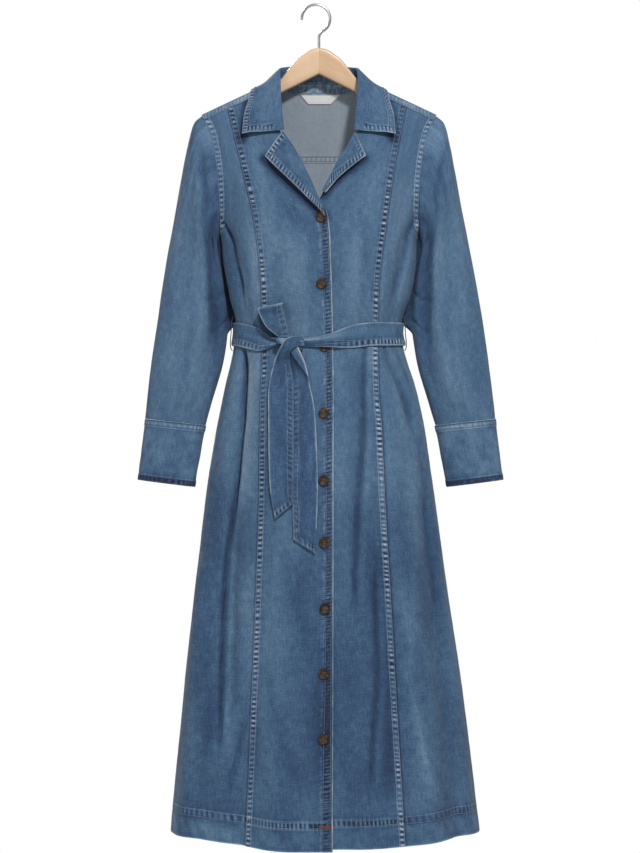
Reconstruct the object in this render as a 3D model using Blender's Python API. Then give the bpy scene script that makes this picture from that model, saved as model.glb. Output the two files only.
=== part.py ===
"""A denim shirt dress hanging on a wooden hanger: one named solid for each piece that is cut and sewn.

Metres, +Z up, the dress faces -Y. The origin is the inner top of the hanger's hook, where a rail holds it.
"right" and "left" in the names are the wearer's: the right side of the dress lies at -X.
Each cloth piece is a wall between an outer and an inner grid of points, both worked out from one body
surface, so pieces that meet at a seam share that seam's curve and keep a small gap there.
"""

from collections import namedtuple
from math import acos, cos, pi, radians, sin

import bmesh
import bpy
import numpy as np
from mathutils import Matrix, Vector

# ---------------------------------------------------------------- driving sizes
CENTRE_X = 0.005  # the dress's middle plane, beside the hook's top
WALL = 0.0016  # denim with its seams pressed flat
DOUBLE_WALL = 0.0024  # collar, lapels and cuffs are two layers
BELT_WALL = 0.0030
GAP = 0.0003  # between pieces that touch
SEAM_RISE = 0.0008  # how far a felled seam stands out
SEAM_WIDTH = 0.010
STEP_WIDTH = 0.0012  # the slope beside a raised seam

RIDGE_TOP = -0.0863  # height of the shoulder line, carried on to the middle
RIDGE_SLOPE = 0.48
RIDGE_ROUND = 0.030  # rounds the shoulder line where it would meet itself in the middle
FOLD_RADIUS = 0.010  # the cloth's bend over the hanger
CHEST_DROP = 0.16  # below the shoulder line, the chest has its whole depth
SECTION_POWER = 2.4  # superellipse power of the body's cross-section
SEAM_FORWARD = 0.013  # the shoulder seam lies this far below the shoulder line, in front
NECK_HALF_WIDTH = 0.072
BACK_NECK_Z = -0.141
YOKE_SEAM_Z = -0.249
UNDERARM_Z = -0.385
HEM_Z = -1.387
HEM_DEPTH = 0.042
HEM_SIDE_LIFT = 0.0150
LOW_SKIRT_Z = -0.900  # from here down the rows start to rise at the sides
HEM_WALL = 0.0028
LAP_DIP = 0.0024  # how far the under front sinks below the upper one
LAP_HIDDEN_X = -0.012  # the under front's hidden edge

Ring = namedtuple("Ring", "z centre half_width front back")
RINGS = [  # the body's sections; above the underarm the half width is the section's, cut off at the armhole
    Ring(-0.060, 0.000, 0.300, 0.048, 0.043),
    Ring(-0.140, 0.000, 0.300, 0.050, 0.044),
    Ring(-0.200, 0.000, 0.262, 0.056, 0.046),
    Ring(-0.250, 0.000, 0.232, 0.060, 0.048),
    Ring(-0.290, 0.000, 0.207, 0.063, 0.050),
    Ring(-0.330, 0.000, 0.186, 0.066, 0.052),
    Ring(-0.360, 0.000, 0.1725, 0.067, 0.053),
    Ring(-0.385, 0.000, 0.1640, 0.067, 0.054),
    Ring(-0.425, 0.001, 0.1610, 0.065, 0.053),
    Ring(-0.465, 0.002, 0.1550, 0.061, 0.051),
    Ring(-0.492, 0.001, 0.1490, 0.058, 0.049),
    Ring(-0.512, 0.000, 0.1420, 0.055, 0.047),
    Ring(-0.529, -0.001, 0.1385, 0.053, 0.046),
    Ring(-0.567, -0.001, 0.1410, 0.054, 0.047),
    Ring(-0.590, 0.000, 0.1455, 0.057, 0.049),
    Ring(-0.627, 0.0017, 0.1562, 0.062, 0.053),
    Ring(-0.687, 0.0027, 0.1697, 0.070, 0.060),
    Ring(-0.767, 0.0027, 0.1827, 0.077, 0.066),
    Ring(-0.907, 0.0037, 0.2017, 0.087, 0.074),
    Ring(-1.007, 0.0047, 0.2147, 0.093, 0.079),
    Ring(-1.107, 0.0067, 0.2282, 0.098, 0.083),
    Ring(-1.207, 0.0087, 0.2392, 0.103, 0.087),
    Ring(-1.307, 0.0097, 0.2502, 0.108, 0.091),
    Ring(-1.400, 0.0107, 0.2597, 0.113, 0.095),
]

Armhole = namedtuple("Armhole", "z x")
ARMHOLE = [  # the seam's distance from the middle, from the shoulder to the underarm
    Armhole(-0.160, 0.201),
    Armhole(-0.182, 0.196),
    Armhole(-0.205, 0.184),
    Armhole(-0.245, 0.173),
    Armhole(-0.292, 0.1665),
    Armhole(-0.330, 0.1640),
    Armhole(-0.360, 0.1635),
    Armhole(-0.385, 0.1640),
]

Princess = namedtuple("Princess", "z right left")
PRINCESS = [  # x of the two front seams
    Princess(-0.140, -0.1565, 0.1490),
    Princess(-0.165, -0.1525, 0.1450),
    Princess(-0.260, -0.1305, 0.1270),
    Princess(-0.360, -0.1075, 0.1115),
    Princess(-0.460, -0.0960, 0.0995),
    Princess(-0.550, -0.0940, 0.0970),
    Princess(-0.690, -0.0960, 0.1010),
    Princess(-0.860, -0.0985, 0.1090),
    Princess(-1.000, -0.1035, 0.1175),
    Princess(-1.200, -0.1125, 0.1290),
    Princess(-1.400, -0.1215, 0.1415),
]

Edge = namedtuple("Edge", "z right left")
FRONT_EDGE = [  # x of each front's inner edge: neck, roll line of the lapel, then the buttoning edge
    Edge(-0.125, -0.072, 0.072),
    Edge(-0.165, -0.070, 0.070),
    Edge(-0.2156, -0.063, 0.0615),
    Edge(-0.2469, -0.0424, 0.0455),
    Edge(-0.2601, -0.0342, 0.0365),
    Edge(-0.2929, -0.0178, 0.0195),
    Edge(-0.3224, -0.0046, 0.0030),
    Edge(-0.3470, 0.0130, LAP_HIDDEN_X),
    Edge(-0.3700, 0.0170, LAP_HIDDEN_X),
    Edge(-0.4225, 0.0197, LAP_HIDDEN_X),
    Edge(-0.5370, 0.0230, LAP_HIDDEN_X),
    Edge(-0.8000, 0.0240, LAP_HIDDEN_X),
    Edge(-1.4000, 0.0226, LAP_HIDDEN_X),
]

Fold = namedtuple("Fold", "depth half_width path")
FOLDS = [  # depth is outwards; the path is (height, angle in degrees from the middle of the front)
    Fold(-0.008, 0.013, ((-0.345, -66), (-0.430, -56), (-0.510, -57))),
    Fold(-0.012, 0.016, ((-0.560, -58), (-0.640, -48), (-0.740, -46), (-0.900, -44), (-1.190, -38))),
    Fold(-0.007, 0.014, ((-0.345, 63), (-0.430, 54), (-0.510, 52))),
    Fold(-0.008, 0.014, ((-0.560, 49), (-0.620, 54), (-0.720, 58))),
    Fold(0.007, 0.030, ((-0.600, -24), (-0.800, -20), (-1.100, -16), (-1.400, -14))),
    Fold(-0.007, 0.024, ((-0.575, 22), (-0.700, 17), (-0.920, 12), (-1.150, 14))),
    Fold(0.010, 0.034, ((-0.650, 34), (-0.900, 36), (-1.100, 37), (-1.400, 38))),
    Fold(-0.008, 0.026, ((-0.800, 60), (-1.100, 58), (-1.400, 56))),
    Fold(-0.007, 0.026, ((-1.150, -30), (-1.300, -29), (-1.400, -28))),
    Fold(0.009, 0.036, ((-0.900, -66), (-1.150, -64), (-1.400, -62))),
    Fold(-0.012, 0.024, ((-0.570, 130), (-0.900, 136), (-1.400, 140))),
    Fold(0.010, 0.034, ((-0.640, 158), (-0.950, 160), (-1.400, 162))),
    Fold(-0.010, 0.026, ((-0.575, 184), (-0.900, 182), (-1.250, 181))),
    Fold(0.010, 0.034, ((-0.640, 206), (-0.950, 204), (-1.400, 202))),
    Fold(-0.012, 0.024, ((-0.570, 232), (-0.900, 227), (-1.400, 222))),
    Fold(-0.007, 0.014, ((-0.400, 128), (-0.460, 134), (-0.525, 140))),
    Fold(-0.007, 0.014, ((-0.400, 232), (-0.460, 226), (-0.525, 220))),
]
FOLD_FADE = 0.055  # a fold starts and ends over this length
SECTIONS_END_Z = RINGS[-1].z

WAIST_SEAM_Z = -0.549  # under the belt, where the bodice and the skirt are joined
WAIST_LEVELS = [WAIST_SEAM_Z + GAP / 2, WAIST_SEAM_Z - GAP / 2]
BODY_LEVELS = [-0.410, -0.437, -0.465, -0.492, -0.512, -0.531, *WAIST_LEVELS, -0.568, -0.590, -0.620]
SKIRT_ROWS = 13  # below the last of BODY_LEVELS, down to the hem's stitching
UPPER_ROWS = 9  # from the shoulder seam to the underarm
BACK_UPPER_ROWS = 4
YOKE_ROWS = (0.0, 0.045, 0.09, 0.135, 0.18, 0.225, 0.29, 0.45, 0.63, 0.81, 1.0)


# ---------------------------------------------------------------- curves and grids
def column(rows, key, z):
    """A smooth curve through one named column of a table, whose rows run down in z."""
    zs = np.array([-row.z for row in rows])
    values = np.array([getattr(row, key) for row in rows], float)
    slopes = np.gradient(values, zs)
    at = np.clip(-np.asarray(z, float), zs[0], zs[-1])
    k = np.clip(np.searchsorted(zs, at) - 1, 0, len(zs) - 2)
    step = zs[k + 1] - zs[k]
    t = (at - zs[k]) / step
    return (
        values[k] * (1 + 2 * t) * (1 - t) ** 2
        + values[k + 1] * t * t * (3 - 2 * t)
        + step * (slopes[k] * t * (1 - t) ** 2 + slopes[k + 1] * t * t * (t - 1))
    )


def through(points, count):
    """count points along a Catmull-Rom curve through the given ones; each point may be an array."""
    p = np.asarray(points, float)
    p = np.concatenate([[2 * p[0] - p[1]], p, [2 * p[-1] - p[-2]]])
    made = []
    for s in np.linspace(0, len(p) - 3, count):
        k = min(int(s), len(p) - 4)
        t = s - k
        a, b, c, d = p[k : k + 4]
        made.append(
            0.5 * (2 * b + (c - a) * t + (2 * a - 5 * b + 4 * c - d) * t * t + (3 * b - a - 3 * c + d) * t**3)
        )
    return np.array(made)


def ease(t):
    """From 0 to 1, flat at both ends."""
    t = np.clip(t, 0, 1)
    return t * t * (3 - 2 * t)


def unit(v):
    return v / np.maximum(np.linalg.norm(v, axis=-1, keepdims=True), 1e-12)


def moved_out(surface, u, v, proud):
    """The surface's points at (u, v), moved along its outward normal."""
    du, dv = 1e-4, 1e-5
    along_u = surface(u + du, v) - surface(u - du, v)
    along_v = surface(u, v + dv) - surface(u, v - dv)
    return surface(u, v) + unit(np.cross(along_u, along_v)) * np.asarray(proud)[..., None]


def wall_object(name, outer, inner, material, closed=False):
    """A closed wall between two grids of points; closed joins the last column to the first."""
    rows, columns = outer.shape[:2]
    bm = bmesh.new()
    faces = [[[bm.verts.new(p) for p in row] for row in grid] for grid in (outer, inner)]
    spans = range(columns if closed else columns - 1)
    for grid in faces:
        for j in range(rows - 1):
            for i in spans:
                k = (i + 1) % columns
                bm.faces.new((grid[j][i], grid[j][k], grid[j + 1][k], grid[j + 1][i]))
    out, into = faces
    for j in (0, rows - 1):
        for i in spans:
            k = (i + 1) % columns
            bm.faces.new((out[j][i], out[j][k], into[j][k], into[j][i]))
    if not closed:
        for i in (0, columns - 1):
            for j in range(rows - 1):
                bm.faces.new((out[j][i], out[j + 1][i], into[j + 1][i], into[j][i]))
    return finished(name, bm, material)


def finished(name, bm, material):
    """The mesh as an object, its faces pointing out and its round stretches smooth."""
    bmesh.ops.recalc_face_normals(bm, faces=bm.faces)
    bmesh.ops.triangulate(bm, faces=bm.faces, quad_method="SHORT_EDGE")
    mesh = bpy.data.meshes.new(name)
    bm.to_mesh(mesh)
    bm.free()
    mesh.materials.append(material)
    mesh.shade_smooth()
    mesh.set_sharp_from_angle(angle=radians(40))
    made = bpy.data.objects.new(name, mesh)
    made.location.x = CENTRE_X
    bpy.context.scene.collection.objects.link(made)
    return made


# ---------------------------------------------------------------- the body surface
def ridge(x):
    """Height of the shoulder line."""
    return RIDGE_TOP - RIDGE_SLOPE * np.sqrt(x * x + RIDGE_ROUND**2)


def fold_depth(angle, z, half_width, depth):
    """How far the folds move the surface, outwards."""
    total = np.zeros(np.broadcast(angle, z).shape)
    degrees = np.degrees(angle)
    radius = 0.575 * (half_width + depth)
    for fold in FOLDS:
        heights = np.array([p[0] for p in fold.path])
        centre = np.interp(-z, -heights, [p[1] for p in fold.path])
        to_hem = float(fold.path[-1][0] <= SECTIONS_END_Z)
        inside = ease((heights[0] - z) / FOLD_FADE) * ease((z - heights[-1]) / FOLD_FADE + to_hem)
        away = np.radians(np.abs((degrees - centre + 180) % 360 - 180)) * radius
        total = total + fold.depth * inside * np.exp(-((away / fold.half_width) ** 2))
    return total


def body(angle, z):
    """A point of the body's surface: angle 0 is the middle of the front, 90 degrees the wearer's left."""
    width = column(RINGS, "half_width", z)
    s, c = np.sin(angle), np.cos(angle)
    x = column(RINGS, "centre", z) + width * np.sign(s) * np.abs(s) ** (2 / SECTION_POWER)
    across = np.abs(c) ** (2 / SECTION_POWER)
    full = np.where(c > 0, column(RINGS, "front", z), column(RINGS, "back", z))
    below = np.maximum(ridge(x) - z, 0)
    over_hanger = np.sqrt(np.maximum(FOLD_RADIUS**2 - np.maximum(FOLD_RADIUS - below, 0) ** 2, 0))
    keep = ease((z - UNDERARM_Z) / 0.08)
    rise = np.sin(pi / 2 * np.clip(below / CHEST_DROP, 0, 1))
    depth = over_hanger * keep + (full - FOLD_RADIUS * keep) * rise * across
    folds = fold_depth(angle, z, width, full)
    outward = unit(np.stack([s * full, -c * width], axis=-1))
    y = -np.sign(c) * depth + outward[..., 1] * folds
    return np.stack([x + outward[..., 0] * folds, y, z + 0 * x], axis=-1)


def angle_at(x, z):
    """The body's angle, in front, where it is x from the middle."""
    x, z = np.broadcast_arrays(np.asarray(x, float), np.asarray(z, float))
    share = (x - column(RINGS, "centre", z)) / column(RINGS, "half_width", z)
    return np.sign(share) * np.arcsin(np.clip(np.abs(share), 0, 1) ** (SECTION_POWER / 2))


def front(x, z, proud=0.0):
    """The front's outer surface at x and z, moved out."""
    z = np.asarray(z, float)
    return moved_out(body, angle_at(x, z), z + 0 * np.asarray(x, float), proud + 0 * z)


def ridge_drop(along):
    """How far a point of the shoulder's surface lies below the shoulder line, along the surface from it."""
    quarter = FOLD_RADIUS * pi / 2
    away = np.abs(along)
    over_top = FOLD_RADIUS * (1 - np.cos(away / FOLD_RADIUS))
    return np.where(away < quarter, over_top, FOLD_RADIUS + away - quarter)


def shoulder(x, along):
    """The surface over a shoulder: along is 0 on the shoulder line, less in front, more behind."""
    z = ridge(x) - ridge_drop(along)
    angle = angle_at(x, z)
    return body(np.where(along > 0, pi - angle, angle), z)


def over(drop):
    """The length along the surface, from the shoulder line to a point drop below it."""
    if drop < FOLD_RADIUS:
        return FOLD_RADIUS * acos(1 - drop / FOLD_RADIUS)
    return FOLD_RADIUS * pi / 2 + drop - FOLD_RADIUS


def shares(lengths, at_start, at_end, between):
    """Where a row's columns lie, from 0 to 1: fixed distances from its ends, and even ones between."""
    made = []
    for length in lengths:
        first, last = np.array(at_start) / length, 1 - np.array(at_end)[::-1] / length
        made.append(np.concatenate([first, np.linspace(first[-1], last[0], between + 2)[1:-1], last]))
    return np.array(made)


def row_lengths(start, end, z):
    """The length of each row of a panel, from the angle start to the angle end."""
    t = np.linspace(0, 1, 25)
    points = body(start[:, None] * (1 - t) + end[:, None] * t, np.repeat(z[:, None], len(t), 1))
    return np.linalg.norm(np.diff(points, axis=1), axis=2).sum(1)


def body_panel(name, material, top, upper_rows, edges, strips, between, raised=None, dip=None, hem_drop=0.0):
    """A panel of the bodice, whose upper edge lies at top(x), and the panel of the skirt below it.

    edges(z) gives the angles of its two sides, and strips the distances of the columns that run along each.
    """
    levels = np.array([UNDERARM_Z] * upper_rows + skirt_levels())[:, None]
    upper = np.zeros_like(levels)
    upper[:upper_rows, 0] = np.linspace(1, 0, upper_rows + 1)[:-1]
    count = len(strips[0]) + between + len(strips[1])
    z = np.broadcast_to(levels - 0.2 * upper, (len(levels), count)).copy()
    x = np.zeros_like(z)
    for _ in range(9):
        start, end = edges(z[:, 0])[0], edges(z[:, -1])[1]
        lengths = row_lengths(start, end, z.mean(1))
        u = shares(lengths, strips[0], strips[1], between)
        trim = (GAP / 2 / lengths)[:, None]
        u = trim + u * (1 - 2 * trim)
        angle = start[:, None] * (1 - u) + end[:, None] * u
        x = body(angle, z)[..., 0]
        z = levels + upper * (top(x) - UNDERARM_Z)
    low = ease((LOW_SKIRT_Z - levels) / (LOW_SKIRT_Z - HEM_Z))
    lift = HEM_SIDE_LIFT * ease((np.abs(np.sin(angle)) - 0.15) / 0.85)
    z = z + low * lift - hem_drop * low**4 * ease(1 - np.abs(angle) / 0.6)
    proud = raised(u * lengths[:, None], (1 - u) * lengths[:, None], z) if raised else 0 * z
    sunk = dip(angle, z) if dip else 0 * z
    wall = np.where(levels < HEM_Z + HEM_DEPTH + 0.001, HEM_WALL, WALL)
    outer = moved_out(body, angle, z, proud - sunk)
    inner = moved_out(body, angle, z, -wall - sunk)
    waist = int(np.sum(levels > WAIST_SEAM_Z))
    wall_object(f"bodice_{name}", outer[:waist], inner[:waist], material)
    wall_object(f"skirt_{name}", outer[waist:], inner[waist:], material)


def skirt_levels():
    """Heights of the rows from the underarm down, shared by every panel that reaches the hem."""
    top = BODY_LEVELS[-1]
    stitching = HEM_Z + HEM_DEPTH
    skirt = np.linspace(top, stitching, SKIRT_ROWS + 1)[1:]
    return [UNDERARM_Z, *BODY_LEVELS, *skirt, stitching - 0.003, HEM_Z]


# ---------------------------------------------------------------- fronts
def strip_at(side):
    """Raises a felled seam along a panel's first or last columns."""

    def raised(from_start, from_end, z):
        away = from_start if side == "start" else from_end
        return SEAM_RISE * (away < SEAM_WIDTH + 0.0004)

    return raised


def front_top(x):
    """Height of the shoulder seam, on the fronts' side of it."""
    return ridge(x) - SEAM_FORWARD - GAP / 2


def seam_strip():
    return 0.0, SEAM_WIDTH, SEAM_WIDTH + STEP_WIDTH


def make_center_fronts(denim):
    def right_edges(z):
        return angle_at(column(PRINCESS, "right", z), z), angle_at(column(FRONT_EDGE, "right", z), z)

    def left_edges(z):
        return angle_at(column(FRONT_EDGE, "left", z), z), angle_at(column(PRINCESS, "left", z), z)

    def under_lap(angle, z):
        lap = angle_at(column(FRONT_EDGE, "right", z), z)
        start = ease((-0.28 - z) / 0.05)
        at_hem = (HEM_WALL - WALL) * ease((-1.30 - z) / 0.04)
        return (LAP_DIP * start + at_hem) * ease((lap + 0.16 - angle) / 0.12)

    body_panel(
        "center_right", denim, front_top, UPPER_ROWS, right_edges, (seam_strip(), (0.0, 0.004)), 4,
        raised=strip_at("start"), hem_drop=0.004,
    )
    body_panel(
        "center_left", denim, front_top, UPPER_ROWS, left_edges, ((0.0, 0.030), seam_strip()), 4,
        raised=strip_at("end"), dip=under_lap,
    )


def armhole_strip(side):
    seam = strip_at(side)
    return lambda from_start, from_end, z: seam(from_start, from_end, z) * (z > UNDERARM_Z - 0.002)


def make_side_fronts(denim):
    def outer_angle(z):
        return np.where(z > UNDERARM_Z, np.abs(angle_at(column(ARMHOLE, "x", z), z)), pi / 2)

    def right_edges(z):
        return -outer_angle(z), angle_at(column(PRINCESS, "right", z), z)

    def left_edges(z):
        return angle_at(column(PRINCESS, "left", z), z), outer_angle(z)

    body_panel(
        "side_right", denim, front_top, UPPER_ROWS, right_edges, (seam_strip(), (0.0,)), 4,
        raised=armhole_strip("start"),
    )
    body_panel(
        "side_left", denim, front_top, UPPER_ROWS, left_edges, ((0.0,), seam_strip()), 4,
        raised=armhole_strip("end"),
    )


# ---------------------------------------------------------------- back and yoke
def back_armhole(z):
    side = np.abs(angle_at(column(ARMHOLE, "x", z), z))
    return np.where(z > UNDERARM_Z, pi - side, pi / 2)


def make_back_panels(denim):
    def edges(z):
        return back_armhole(z), 2 * pi - back_armhole(z)

    body_panel(
        "back", denim, lambda x: YOKE_SEAM_Z - GAP / 2 + 0 * x, BACK_UPPER_ROWS, edges,
        ((0.0, 0.012), (0.0, 0.012)), 14,
    )


def neck_edge(turn):
    """The neck's edge on the shoulder's surface: turn 0 is the middle of the back, pi / 2 the front seam."""
    front_seam = -over(SEAM_FORWARD - GAP / 2)
    back = over(float(ridge(0.0)) - BACK_NECK_Z)
    power = 2 / SECTION_POWER
    x = NECK_HALF_WIDTH * np.sin(turn) ** power
    return x, front_seam + (back - front_seam) * np.clip(np.cos(turn), 0, 1) ** power


def make_yoke(denim):
    """Over both shoulders, from the neck and the seams in front to the seam across the back."""
    neck_x, neck_along = neck_edge(np.radians([0, 22, 40, 53, 62, 69, 76, 82, 90]))
    seam_x = np.array([0.094, 0.120, 0.147, 0.172])
    x = np.concatenate([neck_x, seam_x, [0.1945]])
    along = np.concatenate([neck_along, 0 * seam_x + neck_along[-1], neck_along[-1:]])
    edge = np.stack([x, along], axis=-1)
    run = unit(np.gradient(edge, axis=0))
    run[len(neck_x) - 1] = unit(run[len(neck_x) - 2] + np.array([1.0, 0.0]))
    run[len(neck_x):] = (1.0, 0.0)
    inward = np.stack([-run[:, 1], run[:, 0]], axis=-1)
    last_x = 0.1945 * np.linspace(0, 1, len(x)) ** 0.9
    stitched = edge + inward * 0.0045
    start = edge + inward * (0.0045 + STEP_WIDTH)
    parts = np.array(YOKE_ROWS)[:, None]

    def seam_along(at):
        return FOLD_RADIUS * (pi / 2 - 1) + ridge(at) - YOKE_SEAM_Z - GAP / 2

    last = np.stack([last_x, seam_along(last_x)], axis=-1)
    half = np.concatenate([[edge, stitched], start + (last - start) * parts[..., None]])
    reach = np.maximum(half[..., 0] - 0.12, 0) / (0.1945 - 0.12)
    for _ in range(6):
        limit = column(ARMHOLE, "x", ridge(half[..., 0]) - ridge_drop(half[..., 1])) - GAP
        half[..., 0] = np.where(reach > 0, 0.12 + reach * (limit - 0.12), half[..., 0])
        half[2:, :, 1] = start[:, 1] + (seam_along(half[-1, :, 0]) - start[:, 1]) * parts
    other = half[:, :0:-1] * np.array([-1, 1])
    grid = np.concatenate([other, half], axis=1)
    raised = np.zeros(grid.shape[:2])
    columns = np.abs(np.arange(grid.shape[1]) - len(x) + 1)
    raised[:2] = np.where(columns >= len(neck_x) - 1, SEAM_RISE, 0.0)
    u, v = grid[..., 0], grid[..., 1]
    inner = moved_out(shoulder, u, v, 0 * raised - WALL)
    wall_object("back_yoke", moved_out(shoulder, u, v, raised), inner, denim)


# ---------------------------------------------------------------- sleeves and cuffs
Section = namedtuple("Section", "outer_x outer_z inner_x inner_z half_depth centre_y")
SLEEVE = [  # the flattened tube's sections, from the armhole to the cuff; x is the distance from the middle
    Section(0.1950, -0.1850, 0.1640, -0.3850, 0.036, 0.000),
    Section(0.2085, -0.1970, 0.1660, -0.3950, 0.040, 0.003),
    Section(0.2175, -0.2270, 0.1672, -0.4040, 0.043, 0.006),
    Section(0.2250, -0.2630, 0.1668, -0.4150, 0.045, 0.009),
    Section(0.2333, -0.3070, 0.1625, -0.4340, 0.046, 0.014),
    Section(0.2450, -0.3700, 0.1550, -0.4700, 0.046, 0.020),
    Section(0.2583, -0.4430, 0.1510, -0.5070, 0.042, 0.019),
    Section(0.2700, -0.5200, 0.1530, -0.5430, 0.036, 0.014),
    Section(0.2792, -0.5870, 0.1615, -0.6000, 0.031, 0.010),
    Section(0.2858, -0.6480, 0.1785, -0.6600, 0.027, 0.008),
    Section(0.2900, -0.6880, 0.1895, -0.6990, 0.024, 0.007),
]
CUFF = [
    Section(0.2903, -0.6884, 0.1892, -0.6994, 0.025, 0.007),
    Section(0.2962, -0.7390, 0.1985, -0.7500, 0.025, 0.006),
    Section(0.3020, -0.7895, 0.2075, -0.8015, 0.024, 0.005),
]
SWING = {"right": 0.0, "left": 0.0060}  # how far each cuff hangs out from its sleeve's straight line
SLEEVE_POWER = 2.3
SLEEVE_FOLD = -0.006  # the long fold on the inner side of the front
SLEEVE_FOLD_ANGLE = radians(122)
ARMHOLE_CLEAR = 0.0005  # the sleeve starts this far outside the armhole's edge
UNDERARM_CLEAR = 0.0012


def powered(value):
    return np.sign(value) * np.abs(value) ** (2 / SLEEVE_POWER)


def tube_point(sections, angle, along):
    """A point of a flattened tube on the +X side: angle 0 is its outer fold, 90 degrees its front."""
    at = np.clip(along, 0, len(sections) - 1)

    def part(key):
        values = np.array([getattr(s, key) for s in sections], float)
        k = np.clip(at.astype(int), 0, len(sections) - 2)
        t = at - k
        slopes = np.gradient(values)
        return (
            values[k] * (1 + 2 * t) * (1 - t) ** 2
            + values[k + 1] * t * t * (3 - 2 * t)
            + slopes[k] * t * (1 - t) ** 2
            + slopes[k + 1] * t * t * (t - 1)
        )

    out_x, out_z, in_x, in_z = (part(key) for key in ("outer_x", "outer_z", "inner_x", "inner_z"))
    c, s = powered(np.cos(angle)), powered(np.sin(angle))
    return np.stack(
        [
            (out_x + in_x) / 2 + (out_x - in_x) / 2 * c,
            part("centre_y") - part("half_depth") * s,
            (out_z + in_z) / 2 + (out_z - in_z) / 2 * c,
        ],
        axis=-1,
    )


def armhole_point(angle):
    """The armhole's edge on the +X side, by the sleeve's angle."""
    first = SLEEVE[0]
    middle, half = (first.outer_z + first.inner_z) / 2, (first.outer_z - first.inner_z) / 2
    z = middle + half * powered(np.cos(angle))
    x = column(ARMHOLE, "x", z)
    side = np.abs(angle_at(x, z))
    made = body(np.where(np.sin(angle) >= 0, side, pi - side), z)
    made[..., 0] = x + ARMHOLE_CLEAR + (UNDERARM_CLEAR - ARMHOLE_CLEAR) * ease((-0.29 - z) / 0.07)
    return made


def sleeve_surface(angle, along):
    plain = tube_point(SLEEVE, angle, along)
    fade = 1 - ease(along / 2.2)
    joined = plain + (armhole_point(angle) - tube_point(SLEEVE, angle, 0 * along)) * fade[..., None]
    fold = SLEEVE_FOLD * ease((along - 2) / 2) * ease((9.5 - along) / 3)
    fold = fold * np.exp(-(((angle - SLEEVE_FOLD_ANGLE) / 0.30) ** 2))
    joined[..., 1] -= fold
    return joined


def cuff_surface(angle, along):
    return tube_point(CUFF, angle, along)


def tube_grid(surface, stations, around, proud, side):
    angle = np.linspace(0, 2 * pi, around + 1)[:-1] + 1e-3
    u, v = np.meshgrid(angle, stations)
    grid = moved_out(surface, u, v, proud + 0 * u)
    grid[..., 0] += SWING[side] * ease((-0.22 - grid[..., 2]) / 0.72)
    return grid * np.array([-1 if side == "right" else 1, 1, 1])


def make_sleeves(denim):
    sleeve_rows = np.concatenate([[0.0, 0.35, 0.8], np.linspace(1.4, 10.0, 14)])
    cuff_rows = np.array([0.0, 0.14, 0.18, 1.0, 1.84, 2.0])
    for side in ("right", "left"):
        for part, surface, rows, wall, around in (
            ("sleeve", sleeve_surface, sleeve_rows, WALL, 16),
            ("cuff", cuff_surface, cuff_rows, DOUBLE_WALL, 16),
        ):
            raised = np.zeros((len(rows), 1))
            if part == "cuff":
                raised[:2] = raised[-2:] = SEAM_RISE
            outer = tube_grid(surface, rows, around, raised, side)
            inner = tube_grid(surface, rows, around, -wall, side)
            wall_object(f"{part}_{side}", outer, inner, denim, closed=True)


# ---------------------------------------------------------------- collar and lapels
Collar = namedtuple("Collar", "neck roll mid_x mid_z mid_proud edge_x edge_z edge_proud behind")
COLLAR = [  # from the middle of the back to the notch; neck: 0 to 1 round the yoke, to 2 down the front
    Collar(0.00, (0.0000, 0.0275, -0.0975), 0.000, -0.1220, 0.0165, 0.0000, -0.1500, 0.0044, 1),
    Collar(0.30, (0.0320, 0.0255, -0.0985), 0.040, -0.1240, 0.0165, 0.0500, -0.1500, 0.0044, 1),
    Collar(0.60, (0.0555, 0.0170, -0.1010), 0.074, -0.1300, 0.0130, 0.0880, -0.1500, 0.0040, 1),
    Collar(0.85, (0.0650, -0.0030, -0.1060), 0.088, -0.1303, 0.0080, 0.1090, -0.1410, 0.0034, 1),
    Collar(1.00, (0.0655, -0.0210, -0.1240), 0.091, -0.1440, 0.0080, 0.1160, -0.1560, 0.0034, -1),
    Collar(1.45, (0.0645, -0.0390, -0.1590), 0.094, -0.1750, 0.0070, 0.1210, -0.1860, 0.0034, -1),
    Collar(2.00, (0.0605, -0.0540, -0.2130), 0.095, -0.2175, 0.0055, 0.1245, -0.2215, 0.0032, -1),
]
NECK_CLEAR = 0.0017  # from the neck's edge to the middle of the collar's wall
NOTCH_Z = -0.2130


def wall_on(name, grid, wall, material):
    """A wall half on each side of a grid of points."""
    along_u, along_v = np.gradient(grid, axis=1), np.gradient(grid, axis=0)
    normal = unit(np.cross(along_u, along_v))
    return wall_object(name, grid + normal * wall / 2, grid - normal * wall / 2, material)


def shoulder_place(x, z, behind, proud):
    """x, the way along the shoulder's surface, and the distance from it."""
    return x, behind * over(max(float(ridge(x)) - z, 0.0)), proud


def collar_base(neck):
    if neck <= 1:
        x, along = neck_edge(neck * pi / 2)
        return moved_out(shoulder, x, along, np.array(NECK_CLEAR))
    top = float(front_top(NECK_HALF_WIDTH))
    z = top + (NOTCH_Z - top) * (neck - 1)
    return front(column(FRONT_EDGE, "left", z), z, np.array(NECK_CLEAR))


def make_collar(denim):
    table = [
        [
            (row.neck, 0, 0),
            row.roll,
            shoulder_place(row.mid_x, row.mid_z, row.behind, row.mid_proud),
            shoulder_place(row.edge_x, row.edge_z, row.behind, row.edge_proud),
        ]
        for row in COLLAR
    ]
    half = []
    for neck, roll, mid, edge in through(table, 3 * (len(COLLAR) - 1) + 1):
        base = collar_base(np.clip(neck[0], 0, 2))
        half.append(through([base, roll, moved_out(shoulder, *mid), moved_out(shoulder, *edge)], 9))
    half = np.array(half)
    other = half[:0:-1] * np.array([-1, 1, 1])
    wall_on("collar", np.concatenate([other, half]), DOUBLE_WALL, denim)


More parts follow.
